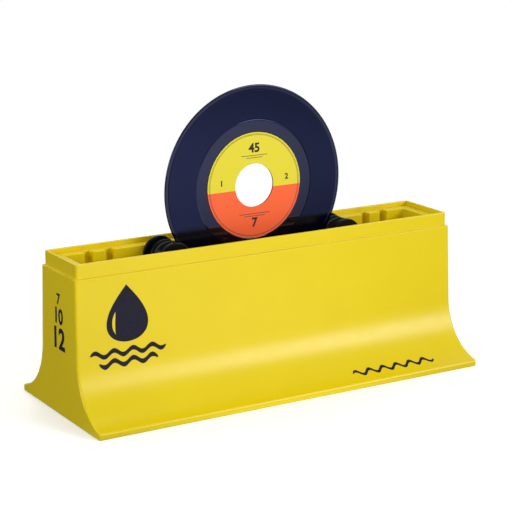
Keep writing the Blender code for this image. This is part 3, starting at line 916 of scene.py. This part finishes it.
@dataclass
class PrintedMarks:
    """Plain marks printed on the basin: a drop over waves, disc sizes in inches and a wavy rule."""

    housing: Housing
    ink_lift: float = 0.12 * MM
    ink_sunk: float = 0.05 * MM
    boldness: float = 0.045
    size_per_height: float = 1.38
    emblem_x: float = -141.0 * MM
    emblem_z: float = 76.0 * MM
    drop_below: float = 11.0 * MM
    drop_width: float = 38.0 * MM
    drop_height: float = 48.0 * MM
    drop_taper: float = 1.1
    drop_tip: float = 0.15 * MM
    glint_place: float = 0.66
    glint_share: float = 0.075
    glint_low: float = 0.55
    glint_high: float = 0.35
    waves: tuple[tuple[float, Wave], ...] = (
        (19.0 * MM, Wave(70.0 * MM, 4.0 * MM, 2.2 * MM, 17.5 * MM)),
        (27.5 * MM, Wave(54.6 * MM, 4.0 * MM, 2.2 * MM, 17.5 * MM)),
    )  # distance below the emblem's middle
    rule: Wave = Wave(150.0 * MM - 63.0 * MM, 3.4 * MM, 2.6 * MM, 14.5 * MM)
    rule_x: float = 106.5 * MM
    rule_run: float = 56.0 * MM
    end_sizes: tuple[Figure, ...] = (
        ("7", 0.0, 99.0 * MM, 9.0 * MM),
        ("10", 0.0, 84.5 * MM, 13.0 * MM),
        ("12", 0.0, 65.0 * MM, 18.0 * MM),
    )

    def on_front(self, x: float, z: float, lift: float) -> Vector:
        """Finds a point on the basin's front wall.

        Args:
            x: its place along the wall.
            z: its height.
            lift: how far it stands off the wall.

        Returns:
            The point.
        """
        h = self.housing
        if z >= h.flare_start:
            normal = Vector((0.0, -1.0, h.wall_draft / (h.ledge - h.flare_start)))
        else:
            drop = h.flare_start - z
            normal = Vector((0.0, -math.sqrt(h.flare_radius**2 - drop**2), drop))
        return Vector((x, -h.wall_y(z), z)) + normal.normalized() * lift

    def on_flare(self, x: float, rise: float, lift: float) -> Vector:
        """Finds a point on the basin's front flare.

        Args:
            x: its place along the wall.
            rise: its distance up the curve from the rule's middle line.
            lift: how far it stands off the wall.

        Returns:
            The point.
        """
        h = self.housing
        turn = (self.rule_run - rise) / h.flare_radius
        return self.on_front(x, h.flare_start - h.flare_radius * math.sin(turn), lift)

    def on_end(self, end: End, x: float, z: float, depth: float) -> Vector:
        """Finds a point on an end wall, a depth off the middle of the ink."""
        out = self.housing.end_x(z) + depth + (self.ink_lift - self.ink_sunk) / 2
        return Vector((end.value * out, end.value * x, z))

    def strip(self, bm: BMesh, top: Sequence[Pair], low: Sequence[Pair], place: Placer) -> None:
        """Adds a closed thin strip between two rows of points.

        Args:
            bm: the mesh that it is added to.
            top: the upper edge's points.
            low: the lower edge's points, as many.
            place: puts a flat point and a lift on the wall.
        """
        sunk, raised = -self.ink_sunk, self.ink_lift
        rings = [
            [place(*a, sunk), place(*b, sunk), place(*b, raised), place(*a, raised)]
            for a, b in zip(top, low)
        ]
        loft(rings, False, bm)

    def wave(self, bm: BMesh, x: float, z: float, wave: Wave, place: Placer) -> None:
        """Adds one wavy line with round ends.

        Args:
            bm: the mesh that it is added to.
            x: its middle.
            z: its height.
            wave: its sizes.
            place: puts a flat point and a lift on the wall.
        """
        steps_per_wave, end_power, end_share = 16, 12, 0.04
        count = int(wave.width / wave.pitch * steps_per_wave)
        top, low = [], []
        for step in range(count + 1):
            t = step / count - 0.5
            across = x + t * wave.width
            mid = z + wave.swing * math.sin(math.tau * (across - x) / wave.pitch)
            taper = math.sqrt(max(1 - abs(2 * t) ** end_power, 0.0)) + end_share
            half = wave.line / 2 * min(1.0, taper)
            top.append((across, mid + half))
            low.append((across, mid - half))
        self.strip(bm, top, low, place)

    def drop(self, bm: BMesh) -> None:
        """Adds the drop: a round belly that narrows to a tip, with a curved glint left open.

        Args:
            bm: the mesh that it is added to.
        """
        belly = self.drop_width / 2
        taper = 1 + self.drop_taper
        widest = (taper / (taper + 1)) ** (taper / 2) * (1 / (taper + 1)) ** 0.5
        foot = self.emblem_z - self.drop_below
        belly_z = foot + belly
        glint_foot = belly_z - self.glint_low * belly
        glint_height = (self.glint_low + self.glint_high) * belly
        steps = 28
        rows = []
        for step in range(steps + 1):
            turn = QUARTER * (1 - step / steps)
            z = foot + self.drop_height * math.cos(turn) ** 2
            half = max(belly * math.sin(turn) ** taper * math.cos(turn) / widest, self.drop_tip)
            t = min(max((z - glint_foot) / glint_height, 0.0), 1.0)
            opening = self.glint_share * belly * math.sqrt(max(math.sin(math.pi * t), 0.0))
            middle = -self.glint_place * half
            edges = (-half, middle - opening, middle + opening, half)
            rows.append([(self.emblem_x + x, z) for x in edges])
        left, glint_left, glint_right, right = zip(*rows)
        self.strip(bm, left, glint_left, self.on_front)
        self.strip(bm, glint_right, right, self.on_front)

    def figures(
        self, name: str, texts: Sequence[Figure], place: Placer, ink: Finish, body: str
    ) -> None:
        """Prints plain numbers as one piece.

        Args:
            name: the piece's name.
            texts: the numbers.
            place: puts a flat point and a depth through the ink on the surface.
            ink: the finish.
            body: the body that it rides on.
        """
        joined = bmesh.new()
        for text, x, z, height in texts:
            curve = bpy.data.curves.new("figures", "FONT")
            curve.body = text
            curve.size = height * self.size_per_height
            curve.align_x = curve.align_y = "CENTER"
            curve.extrude = (self.ink_lift + self.ink_sunk) / 2
            curve.offset = self.boldness * height
            curve.resolution_u = 4
            mesh = applied(stood("figures", curve))
            bpy.data.curves.remove(curve)
            for vertex in mesh.vertices:
                across, up, depth = vertex.co
                vertex.co = place(x + across, z + up, depth)
            absorb(joined, mesh)
        new_piece(name, mesh_from(name, joined), ink, body)

    def build(self) -> None:
        """Makes the marks."""
        emblem, rule = bmesh.new(), bmesh.new()
        self.drop(emblem)
        for below, wave in self.waves:
            self.wave(emblem, self.emblem_x, self.emblem_z - below, wave, self.on_front)
        self.wave(rule, self.rule_x, 0.0, self.rule, self.on_flare)
        for name, bm in (("printed_drop", emblem), ("printed_rule", rule)):
            new_piece(name, mesh_from(name, bm), INK, "basin")
        for end in End:
            name = f"printed_sizes_{end.name.lower()}"
            self.figures(name, self.end_sizes, partial(self.on_end, end), INK, "basin")


# The record


@dataclass
class Record:
    """The disc, revolved by Geometry Nodes from its radial height rule, and its label's figures."""

    hole_radius: float = 19.05 * MM
    label_radius: float = 46.4 * MM
    run_out_radius: float = 57.0 * MM
    groove_radius: float = 84.0 * MM
    label_floor: float = 0.3 * MM
    run_out_half: float = 0.8 * MM
    groove_half: float = 0.65 * MM
    rim_half: float = 0.9 * MM
    rim_round: float = 0.7 * MM
    ripple: float = 0.02 * MM
    ripple_pitch: float = 1.37 * MM
    ripple_fade: float = 1.5 * MM
    rows: int = 190
    columns: int = 216
    ink_rise: float = 0.01 * MM
    figures: tuple[Figure, ...] = (
        ("45", 0.0, 32.5 * MM, 8.0 * MM),
        ("7", 0.0, -33.0 * MM, 8.0 * MM),
        ("1", -32.5 * MM, 4.5 * MM, 5.0 * MM),
        ("2", 32.5 * MM, 4.5 * MM, 5.0 * MM),
    )

    def __post_init__(self) -> None:
        """Takes the disc's place and radius from the frame."""
        low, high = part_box("record_disc")
        self.centre = (low + high) / 2
        self.radius = (high.z - low.z) / 2

    def disc_half(self, g: Grower, radius: Socket) -> Socket:
        """Finds half the disc's thickness from its label recess out to its rounded rim.

        Args:
            g: the tree.
            radius: the distance from the axis.

        Returns:
            The half thickness.
        """
        step, rim_share = 0.25 * MM, 0.35
        given = g.given
        height = given["Label Floor"]
        for at, level, half_step in (
            ("Label Radius", "Run Out Half", step),
            ("Run Out Radius", "Groove Half", 2 * step),
            ("Groove Radius", "Rim Half", step),
        ):
            low, high = (g.math(way, given[at], half_step) for way in ("SUBTRACT", "ADD"))
            height = g.ramp(radius, low, high, height, given[level], smooth=True)
        start = g.less(given["Radius"], given["Rim Round"])
        fall = g.ramp(radius, start, given["Radius"])
        bead = g.math("SQRT", g.less(1.0, g.times(fall, fall)))
        height = g.times(height, g.math("MAXIMUM", bead, rim_share))
        turns = g.math("DIVIDE", radius, given["Ripple Pitch"])
        wave = g.math("SINE", g.times(turns, math.tau))
        run_out, groove = given["Run Out Radius"], given["Groove Radius"]
        fade = given["Ripple Fade"]
        after = g.ramp(radius, run_out, g.add(run_out, fade))
        before = g.ramp(radius, g.less(groove, fade), groove, 1.0, 0.0)
        for share in (given["Ripple"], after, before):
            wave = g.times(wave, share)
        return g.add(height, wave)

    def disc(self) -> None:
        """Makes the disc from a grid whose rows run out along one face and back on the other."""
        vinyl = Vinyl(
            "record_vinyl",
            "vinyl",
            colour=(0.0008, 0.001, 0.004),
            centre=tuple(self.centre),
            # paler than the grooves: painted sheen
            run_out_sheen_colour=(0.0012, 0.001, 0.006),
            run_out_radius=self.run_out_radius,
            groove_radius=self.groove_radius,
        )
        names = ("hole_radius", "radius", "label_radius", "run_out_radius", "groove_radius",
                 "label_floor", "run_out_half", "groove_half", "rim_half", "rim_round",
                 "ripple", "ripple_pitch", "ripple_fade")
        sizes = {name.replace("_", " ").title(): getattr(self, name) for name in names}
        g = Grower("record_profile", sizes, vinyl)
        rows = 2 * self.rows
        grid = g.node("GeometryNodeMeshGrid", {
            "Size X": 1.0,
            "Size Y": 1.0,
            "Vertices X": self.columns + 1,
            "Vertices Y": rows + 1,
        })
        across, along, _ = g.parts(g.node("GeometryNodeInputPosition").outputs[0])
        angle = g.times(g.add(across, 0.5), math.tau)
        row = g.math("ROUND", g.times(g.add(along, 0.5), float(rows)))
        row = g.math("MODULO", row, float(rows))
        index = g.math("MINIMUM", row, g.less(rows - 1.0, row))
        share = g.math("DIVIDE", index, self.rows - 1.0)
        radius = g.ramp(share, 0.0, 1.0, g.given["Hole Radius"], g.given["Radius"])
        back = g.math("GREATER_THAN", row, self.rows - 0.5)
        sign = g.less(g.times(back, 2.0), 1.0)
        place = g.vector(
            g.times(radius, g.math("COSINE", angle)),
            g.times(self.disc_half(g, radius), sign),
            g.times(radius, g.math("SINE", angle)),
        )
        moved = g.node("GeometryNodeSetPosition", {"Geometry": grid.outputs[0], "Position": place})
        weld = {"Geometry": moved.outputs[0], "Distance": WELD}
        mesh = g.grown("record_vinyl", g.node("GeometryNodeMergeByDistance", weld).outputs[0])
        mesh.transform(Matrix.Translation(self.centre))
        bm = bmesh.new()
        absorb(bm, mesh)
        whole = mesh_from("record_vinyl", bm, angle=60.0)
        new_piece("record_vinyl", whole, vinyl, "record", ["record_disc"])

    def on_label(self, side: Side, face: float, x: float, z: float, depth: float) -> Vector:
        """Finds a point on a label whose face lies at a Y, with the ink's depth halved."""
        y = face + side.value * (depth + self.ink_rise) / 2
        return Vector((self.centre.x - side.value * x, y, self.centre.z + z))

    def build(self, marks: PrintedMarks) -> None:
        """Makes the disc and prints its labels.

        Args:
            marks: makes figures.
        """
        self.disc()
        paper = LabelPaper(
            "label_paper",
            "label_paper",
            colour=(0.80, 0.69, 0.02),
            centre=tuple(self.centre),
            lower=(1.0, 0.125, 0.024),
            rule=(0.03, 0.02, 0.03),
            radius=self.label_radius,
        )
        for side in Side:
            dress_node(f"record_label_{side.name.lower()}", paper)
        for side in Side:
            low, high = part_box(f"record_label_{side.name.lower()}")
            place = partial(self.on_label, side, low.y if side is Side.FRONT else high.y)
            name = f"label_figures_{side.name.lower()}"
            marks.figures(name, self.figures, place, LABEL_INK, "record")


# The rollers


@dataclass
class Roller:
    """One spool with its ring, axle and washers, with softer edges than the frame's nodes."""

    end: End
    steps: int = 96
    gap: float = 0.3 * MM
    flange_width: float = 3.3 * MM
    neck_radius: float = 7.2 * MM
    neck_width: float = 1.7 * MM
    lip_rise: float = 1.6 * MM
    lip_inner: float = 1.5 * MM
    lip_outer: float = 2.7 * MM
    lip_drop: float = 0.6 * MM
    ring_section: float = 3.6 * MM
    dimple: float = 0.9 * MM
    dimple_tip: float = 0.045 * MM
    chamfer: float = 0.5 * MM
    spool_round: float = 0.9 * MM
    washer_round: float = 0.2 * MM
    ring_round: float = 0.6 * MM

    def __post_init__(self) -> None:
        """Takes the axis and radii from the frame."""
        self.prefix = f"roller_{self.end.name.lower()}"
        low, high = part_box(f"{self.prefix}_axle")
        self.centre = (low + high) / 2
        self.axle_radius, _, self.axle_half = self.section("axle")
        self.grip_radius, _, self.grip_half = self.section("grip_ring")
        self.bore = self.axle_radius + self.gap

    def section(self, part: str) -> tuple[float, float, float]:
        """Reads a part's radius, lowest Y and highest Y from the frame."""
        low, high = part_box(f"{self.prefix}_{part}")
        return (high.z - low.z) / 2, low.y, high.y

    def turn(
        self, part: str, suffix: str, profile: Sequence[Pair], steps: int, finish: Finish = BLACK
    ) -> None:
        """Turns one part about the axle and puts it in the scene.

        Args:
            part: the part's node name without the roller's.
            suffix: what its piece's name adds.
            profile: its closed outline as (radius, y) points.
            steps: segments round the axis.
            finish: its finish.
        """
        node = f"{self.prefix}_{part}"
        mesh = turned(f"{node}_{suffix}", profile, self.centre, steps)
        new_piece(f"{node}_{suffix}", mesh, finish, self.prefix, [node])

    def spool(self, side: Side) -> None:
        """Makes one half of the spool: a guide flange, a waist and the groove's cheek.

        Args:
            side: which half.
        """
        flange_radius, inner, outer = self.section("spool_rear")
        flange_in = outer - self.flange_width
        ring_side = self.grip_half + self.gap
        lip = self.grip_radius + self.lip_rise
        seat = self.grip_radius - self.ring_section - self.gap
        corners = [
            (flange_radius, outer),
            (flange_radius, flange_in),
            (self.neck_radius, flange_in),
            (self.neck_radius, flange_in - self.neck_width),
            (lip, ring_side + self.lip_outer),
            (lip, ring_side + self.lip_inner),
            (self.grip_radius - self.lip_drop, ring_side),
            (seat, ring_side),
            (seat, inner),
            (self.bore, inner),
            (self.bore, outer),
        ]
        profile = [(r, side.value * y) for r, y in filleted(corners, self.spool_round)]
        self.turn(f"spool_{side.name.lower()}", "body", profile, self.steps)

    def washer(self, side: Side) -> None:
        """Makes one thrust washer.

        Args:
            side: which end of the axle.
        """
        radius, low, high = self.section("washer_rear")
        corners = [(radius, high), (radius, low), (self.bore, low), (self.bore, high)]
        profile = [(r, side.value * y) for r, y in filleted(corners, self.washer_round, steps=3)]
        self.turn(f"washer_{side.name.lower()}", "disc", profile, self.steps // 2)

    def axle(self) -> None:
        """Makes the axle with chamfered ends and a small centre dimple."""
        radius, half, dimple, edge = self.axle_radius, self.axle_half, self.dimple, self.chamfer
        far = [(radius, half - edge), (radius - edge, half), (dimple, half),
               (self.dimple_tip, half - dimple)]
        profile = [(r, -y) for r, y in reversed(far)] + far
        around = arc((0.0, 0.0), 1.0, 0.0, math.tau, self.steps)[:-1]
        rings = [[self.centre + Vector((r * x, y, r * z)) for x, z in around] for r, y in profile]
        node = f"{self.prefix}_axle"
        mesh = mesh_from(f"{node}_shaft", loft(rings, closed_path=False), angle=30.0)
        new_piece(f"{node}_shaft", mesh, BLACK, self.prefix, [node])

    def build(self) -> None:
        """Makes the whole roller."""
        self.axle()
        out, half = self.grip_radius, self.grip_half
        inner = out - self.ring_section
        corners = [(out, half), (out, -half), (inner, -half), (inner, half)]
        tyre = filleted(corners, self.ring_round, steps=5)
        self.turn("grip_ring", "tyre", tyre, self.steps, RUBBER)
        for side in Side:
            self.spool(side)
            self.washer(side)


# The brushes


@dataclass
class Brush:
    """One brush's soft parts: a crowned foam core, a pile pad and its standing tufts."""

    side: Side
    backing: float = 1.4 * MM
    foam_corner: float = 5.4 * MM
    foam_crown: float = 1.4 * MM
    pad_corner: float = 6.0 * MM
    pad_crown: float = 0.9 * MM
    tuft_margin: float = 1.2 * MM
    tuft_pitch: float = 0.8 * MM
    tuft_width: float = 0.3 * MM
    tuft_lean: float = 0.16
    tuft_root: float = 0.1 * MM
    tuft_short: float = 0.15 * MM
    tuft_jitter: float = 0.35
    tuft_tip: float = 0.45
    seed: int = 7

    def __post_init__(self) -> None:
        """Takes the pads' boxes from the frame."""
        self.body = f"brush_{self.side.name.lower()}"
        self.foam_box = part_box(f"{self.body}_foam")
        self.pile_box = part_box(f"{self.body}_pile")

    def pillow(self, name: str, low: Vector, high: Vector, corner: float, crown: float) -> Mesh:
        """Makes a soft block: round corners, sides that draw in, faces that crown.

        Args:
            name: the mesh's name.
            low: its lowest corner.
            high: its highest corner.
            corner: corner radius seen from the front.
            crown: how far the long sides draw in at their edges.

        Returns:
            The mesh.
        """
        centre, half = (low + high) / 2, (high - low) / 2
        last_row, fullness = 8, 3
        rings = []
        for row in range(last_row + 1):
            t = 2.0 * row / last_row - 1.0
            inset = crown * (1 - math.sqrt(max(1 - abs(t) ** fullness, 0.0)))
            flat = rounded_rectangle(half.x - inset, half.z - inset, 0.0, corner - inset / 2)
            rings.append([centre + Vector((p.x, half.y * t, p.y)) for p in flat])
        return mesh_from(name, loft(rings, closed_path=False), angle=45.0)

    def tufts(self, face_y: float, length: float) -> Mesh:
        """Plants tufts all over the pad's face.

        Args:
            face_y: where the tufts' middles stand.
            length: a tuft's length.

        Returns:
            The mesh.
        """
        low, high = self.pile_box
        centre = (low + high) / 2
        width, tall = (s - 2 * self.tuft_margin for s in (high.x - low.x, high.z - low.z))
        sizes = {"Width": width, "Height": tall, "Corner": self.pad_corner - self.tuft_margin,
                 "Tuft Length": length, "Tuft Width": self.tuft_width,
                 "Jitter": self.tuft_pitch * self.tuft_jitter, "Seed": self.seed}
        g = Grower(f"{self.body}_tufts", sizes, PILE)
        given = g.given
        grid = g.node("GeometryNodeMeshGrid", {
            "Size X": given["Width"],
            "Size Y": given["Height"],
            "Vertices X": int(width / self.tuft_pitch),
            "Vertices Y": int(tall / self.tuft_pitch),
        })
        base = self.side.value * QUARTER
        stand = g.node("GeometryNodeTransform", {
            "Geometry": grid.outputs[0],
            "Translation": (centre.x, face_y, centre.z),
            "Rotation": (base, 0.0, 0.0),
        })
        shake, lean = (
            g.node("FunctionNodeRandomValue", {0: low, 1: high, "Seed": given["Seed"]},
                   data_type="FLOAT_VECTOR").outputs[0]
            for low, high in (
                ((-1.0, 0.0, -1.0), (1.0, 0.0, 1.0)),
                ((base - self.tuft_lean, 0.0, 0.0), (base + self.tuft_lean, math.tau, 0.0)),
            )
        )
        swing = g.node("ShaderNodeVectorMath", {0: shake, "Scale": given["Jitter"]},
                       operation="SCALE")
        shaken = {"Geometry": stand.outputs[0], "Offset": swing.outputs[0]}
        moved = g.node("GeometryNodeSetPosition", shaken)
        tuft = g.node("GeometryNodeMeshCone", {
            "Vertices": 5,
            "Radius Top": g.times(given["Tuft Width"], self.tuft_tip),
            "Radius Bottom": given["Tuft Width"],
            "Depth": given["Tuft Length"],
        })
        x, _, z = g.parts(g.node("GeometryNodeInputPosition").outputs[0])
        beyond = []
        for value, middle, size in ((x, centre.x, given["Width"]), (z, centre.z, given["Height"])):
            away = g.math("ABSOLUTE", g.less(value, middle))
            straight = g.less(g.times(size, 0.5), given["Corner"])
            beyond.append(g.math("MAXIMUM", g.less(away, straight), 0.0))
        kept = g.math("LESS_THAN", g.diagonal(*beyond), given["Corner"])
        planted = g.node("GeometryNodeInstanceOnPoints", {
            "Points": moved.outputs[0],
            "Selection": kept,
            "Instance": tuft.outputs["Mesh"],
            "Rotation": lean,
        })
        return g.grown(f"{self.body}_pile_tufts", planted.outputs[0])

    def build(self) -> None:
        """Makes the brush's soft parts."""
        node = f"{self.body}_foam"
        core = self.pillow(f"{node}_core", *self.foam_box, self.foam_corner, self.foam_crown)
        new_piece(f"{node}_core", core, FOAM, self.body, [node])
        sign = self.side.value
        low, high = self.pile_box
        face, back = (low.y, high.y) if sign > 0 else (high.y, low.y)
        inner = back - sign * self.backing
        pad_low = Vector((low.x, min(back, inner), low.z))
        pad_high = Vector((high.x, max(back, inner), high.z))
        node = f"{self.body}_pile"
        pad = self.pillow(f"{node}_pad", pad_low, pad_high, self.pad_corner, self.pad_crown)
        new_piece(f"{node}_pad", pad, PILE, self.body, [node])
        length = abs(inner - face) - self.tuft_short
        mesh = self.tufts(inner + sign * self.tuft_root, length)
        mesh.shade_smooth()
        new_piece(f"{node}_tufts", mesh, PILE, self.body, [node])


# The studio


@dataclass(frozen=True)
class Lamp:
    """One soft square light: its name, place, side and power in watts."""

    name: str
    place: Place
    size: float
    power: float

    def hang(self, aim: Place) -> None:
        """Hangs the light.

        Args:
            aim: the point that it faces.
        """
        lamp = bpy.data.lights.new(self.name, "AREA")
        lamp.shape, lamp.size, lamp.energy = "SQUARE", self.size, self.power
        holder = stood(self.name, lamp)
        holder.location = self.place
        holder.rotation_mode = "QUATERNION"
        way = Vector(aim) - Vector(self.place)
        holder.rotation_quaternion = way.to_track_quat("-Z", "Y")


@dataclass
class Studio:
    """Camera at the photograph's view, pale floor and soft lights."""

    focal: float = 120.14
    sensor: float = 36.0
    clip: Pair = (0.05, 20.0)
    azimuth: float = -30.811
    elevation: float = 14.154
    roll: float = -0.174
    distance: float = 1490.89 * MM
    target: Place = (1.86 * MM, 0.0, 110.9 * MM)
    horizon: float = 0.88
    zenith_share: float = 0.56
    rise: Pair = (0.05, 0.75)
    left_share: float = 0.3
    sideways: Pair = (-0.8, 0.5)
    floor_radius: float = 6.0
    floor_colours: tuple[Colour, Colour] = ((0.93, 0.93, 0.93), (0.9, 0.9, 0.9))
    cloud: float = 400.0 * MM
    floor_glow: float = 0.2
    floor_glow_seen: float = 0.3
    white_unseen: Pair = (0.05, 0.2)
    white_seen: Pair = (0.35, 1.1)
    pools: tuple[tuple[Pair, float, float, float], ...] = (
        ((0.08, -1.32), 0.55, 1.3, 0.1),
        ((-0.07, -0.36), 0.18, 1.0, 0.0),
        ((0.24, -0.2), 0.13, 0.35, 0.0),
    )  # place, radius, light inside and light beyond twice the radius
    aim: Place = (0.0, 0.0, 0.09)
    lamps: tuple[Lamp, ...] = (
        Lamp("key", (1.2, -1.66, 0.9), 0.9, 20.5),
        Lamp("fill", (-1.7, -0.45, 0.8), 1.0, 15.0),
        Lamp("top", (0.1, 0.6, 1.5), 1.0, 7.0),
    )

    def camera(self) -> None:
        """Places the camera."""
        a, e, turn = (math.radians(v) for v in (self.azimuth, self.elevation, self.roll))
        back = Vector((math.sin(a) * math.cos(e), -math.cos(a) * math.cos(e), math.sin(e)))
        right = Vector((math.cos(a), math.sin(a), 0.0))
        up = back.cross(right)
        rolled_right = math.cos(turn) * right + math.sin(turn) * up
        rolled_up = math.cos(turn) * up - math.sin(turn) * right
        lens = bpy.data.cameras.new("camera")
        lens.lens, lens.sensor_width, lens.sensor_fit = self.focal, self.sensor, "HORIZONTAL"
        lens.clip_start, lens.clip_end = self.clip
        camera = stood("camera", lens)
        axes = Matrix((rolled_right, rolled_up, back)).transposed().to_4x4()
        place = Vector(self.target) + back * self.distance
        camera.matrix_world = Matrix.Translation(place) @ axes
        bpy.context.scene.camera = camera

    def floor_finish(self) -> Material:
        """Makes the floor's material: plain white to the camera, pools of light to reflections.

        Returns:
            The material.
        """
        g = Surface("studio_floor")
        cloud = g.noise(self.cloud, 2.0)
        direct = g.node("ShaderNodeLightPath").outputs["Is Camera Ray"]
        g.set(
            Base_Color=g.mix(cloud, *self.floor_colours),
            Roughness=0.75,
            Specular_IOR_Level=0.2,
            Emission_Color=(*WHITE, 1.0),
            Emission_Strength=g.ramp(direct, 0.0, 1.0, self.floor_glow, self.floor_glow_seen),
        )
        mirrored = 0.0
        for centre, radius, light, beyond in self.pools:
            given = {0: g.place, 1: (*centre, 0.0)}
            away = g.node("ShaderNodeVectorMath", given, operation="DISTANCE").outputs["Value"]
            glimmer = g.ramp(away, radius, 2 * radius, light, beyond, smooth=True)
            mirrored = g.add(mirrored, glimmer)
        away = g.node("ShaderNodeVectorMath", {0: g.place}, operation="LENGTH")
        near, far = (
            g.ramp(away.outputs["Value"], *reach, smooth=True)
            for reach in (self.white_unseen, self.white_seen)
        )
        strength = g.math("MAXIMUM", mirrored, direct)
        glow = g.node("ShaderNodeEmission", {"Strength": strength})
        share = g.ramp(direct, 0.0, 1.0, near, far)
        given = {0: share, 1: g.shader.outputs[0], 2: glow.outputs[0]}
        blend = g.node("ShaderNodeMixShader", given)
        g.feed(g.tree.nodes["Material Output"].inputs["Surface"], blend.outputs[0])
        return g.material

    def floor(self) -> None:
        """Lays the pale floor."""
        bm = bmesh.new()
        bmesh.ops.create_circle(bm, cap_ends=True, segments=96, radius=self.floor_radius)
        mesh = written("studio_floor", bm)
        mesh.materials.append(self.floor_finish())
        stood("studio_floor", mesh)

    def sky(self) -> None:
        """Makes the sky: white to the camera, dimmer overhead and on the left to all else."""
        world = bpy.data.worlds.new("studio")
        world.use_nodes = True
        g = Graph(world.node_tree)
        across, _, up = g.parts(g.node("ShaderNodeTexCoord").outputs["Generated"])
        height = g.ramp(up, *self.rise, 1.0, self.zenith_share, smooth=True)
        side = g.ramp(across, *self.sideways, self.left_share, 1.0, smooth=True)
        lit = g.times(g.times(height, side), self.horizon)
        seen = g.node("ShaderNodeLightPath").outputs["Is Camera Ray"]
        background = world.node_tree.nodes["Background"]
        g.feed(background.inputs["Strength"], g.math("MAXIMUM", lit, seen))
        background.inputs["Color"].default_value = (*WHITE, 1.0)
        bpy.context.scene.world = world

    def build(self) -> None:
        """Makes the camera, floor, sky and lights."""
        self.camera()
        self.floor()
        self.sky()
        for lamp in self.lamps:
            lamp.hang(self.aim)
        bpy.context.scene.view_settings.view_transform = "Standard"


# Pieces from the frame's own nodes


def softened(
    node: str,
    finish: Finish,
    body: str,
    edge: float,
    seams: Sequence[float] = (),
    push: float = 0.0,
) -> None:
    """Makes a piece from a model node with its sharp edges rounded off.

    Args:
        node: the node that it stands for.
        finish: its finish.
        body: the body that it rides on.
        edge: the rounding's size.
        seams: X of joint faces, either side of the middle, whose edges stay sharp.
        push: how far those faces move outwards, to close a fitting gap.
    """
    touch = 0.05 * MM
    sharp_turn, flat_turn = math.radians(40.0), math.radians(0.5)
    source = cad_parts[node]
    bm = bmesh.new()
    bm.from_mesh(source.data)
    bm.transform(source.matrix_world)
    bmesh.ops.remove_doubles(bm, verts=bm.verts, dist=WELD)
    bmesh.ops.dissolve_limit(bm, angle_limit=flat_turn, verts=bm.verts, edges=bm.edges)
    at_seam = {v for v in bm.verts if any(abs(abs(v.co.x) - x) < touch for x in seams)}
    weight = bm.edges.layers.float.new("bevel_weight_edge")
    for line in bm.edges:
        sharp = line.calc_face_angle(0.0) > sharp_turn
        line[weight] = float(sharp and not at_seam.issuperset(line.verts))
    middle = sum(seams) / len(seams) if seams else 0.0
    for vertex in at_seam:
        outward = math.copysign(1.0, abs(vertex.co.x) - middle) * math.copysign(1.0, vertex.co.x)
        vertex.co.x += push * outward
    holder = stood(f"{node}_raw", written(f"{node}_raw", bm))
    rounding = holder.modifiers.new("rounding", "BEVEL")
    rounding.width, rounding.segments, rounding.limit_method = edge, 3, "WEIGHT"
    mesh = applied(holder)
    shade(mesh, angle=40.0)
    evened(new_piece(f"{node}_moulded", mesh, finish, body, [node]))


def dress_node(name: str, finish: Finish) -> None:
    """Gives a model node that stays as it is its finish.

    Args:
        name: the node's name.
        finish: its finish.
    """
    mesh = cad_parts[name].data
    mesh.materials.clear()
    mesh.materials.append(finish.material())
    log.info("%s keeps its own shape", name)


def main() -> None:
    """Builds every piece in order."""
    logging.basicConfig(level=logging.INFO, format="%(message)s")
    housing = Housing()
    housing.build()
    low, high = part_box("axle_rail_right_front")
    gap = housing.rail_gap
    push = 0.95 * gap  # all but closes the gap between a rail and the tank
    seams = (low.x - gap, high.x + gap)
    softened("water_tank", YELLOW, "basin", edge=0.5 * MM, seams=seams)
    for end in End:
        for side in Side:
            rail = f"axle_rail_{end.name.lower()}_{side.name.lower()}"
            softened(rail, YELLOW, "basin", edge=0.6 * MM, seams=(low.x, high.x), push=push)
    marks = PrintedMarks(housing)
    marks.build()
    Record().build(marks)
    for end in End:
        Roller(end).build()
    for side in Side:
        brush = f"brush_{side.name.lower()}"
        softened(f"{brush}_holder", BLACK, brush, edge=0.4 * MM)
        Brush(side).build()
    Studio().build()


if __name__ == "__main__":
    main()
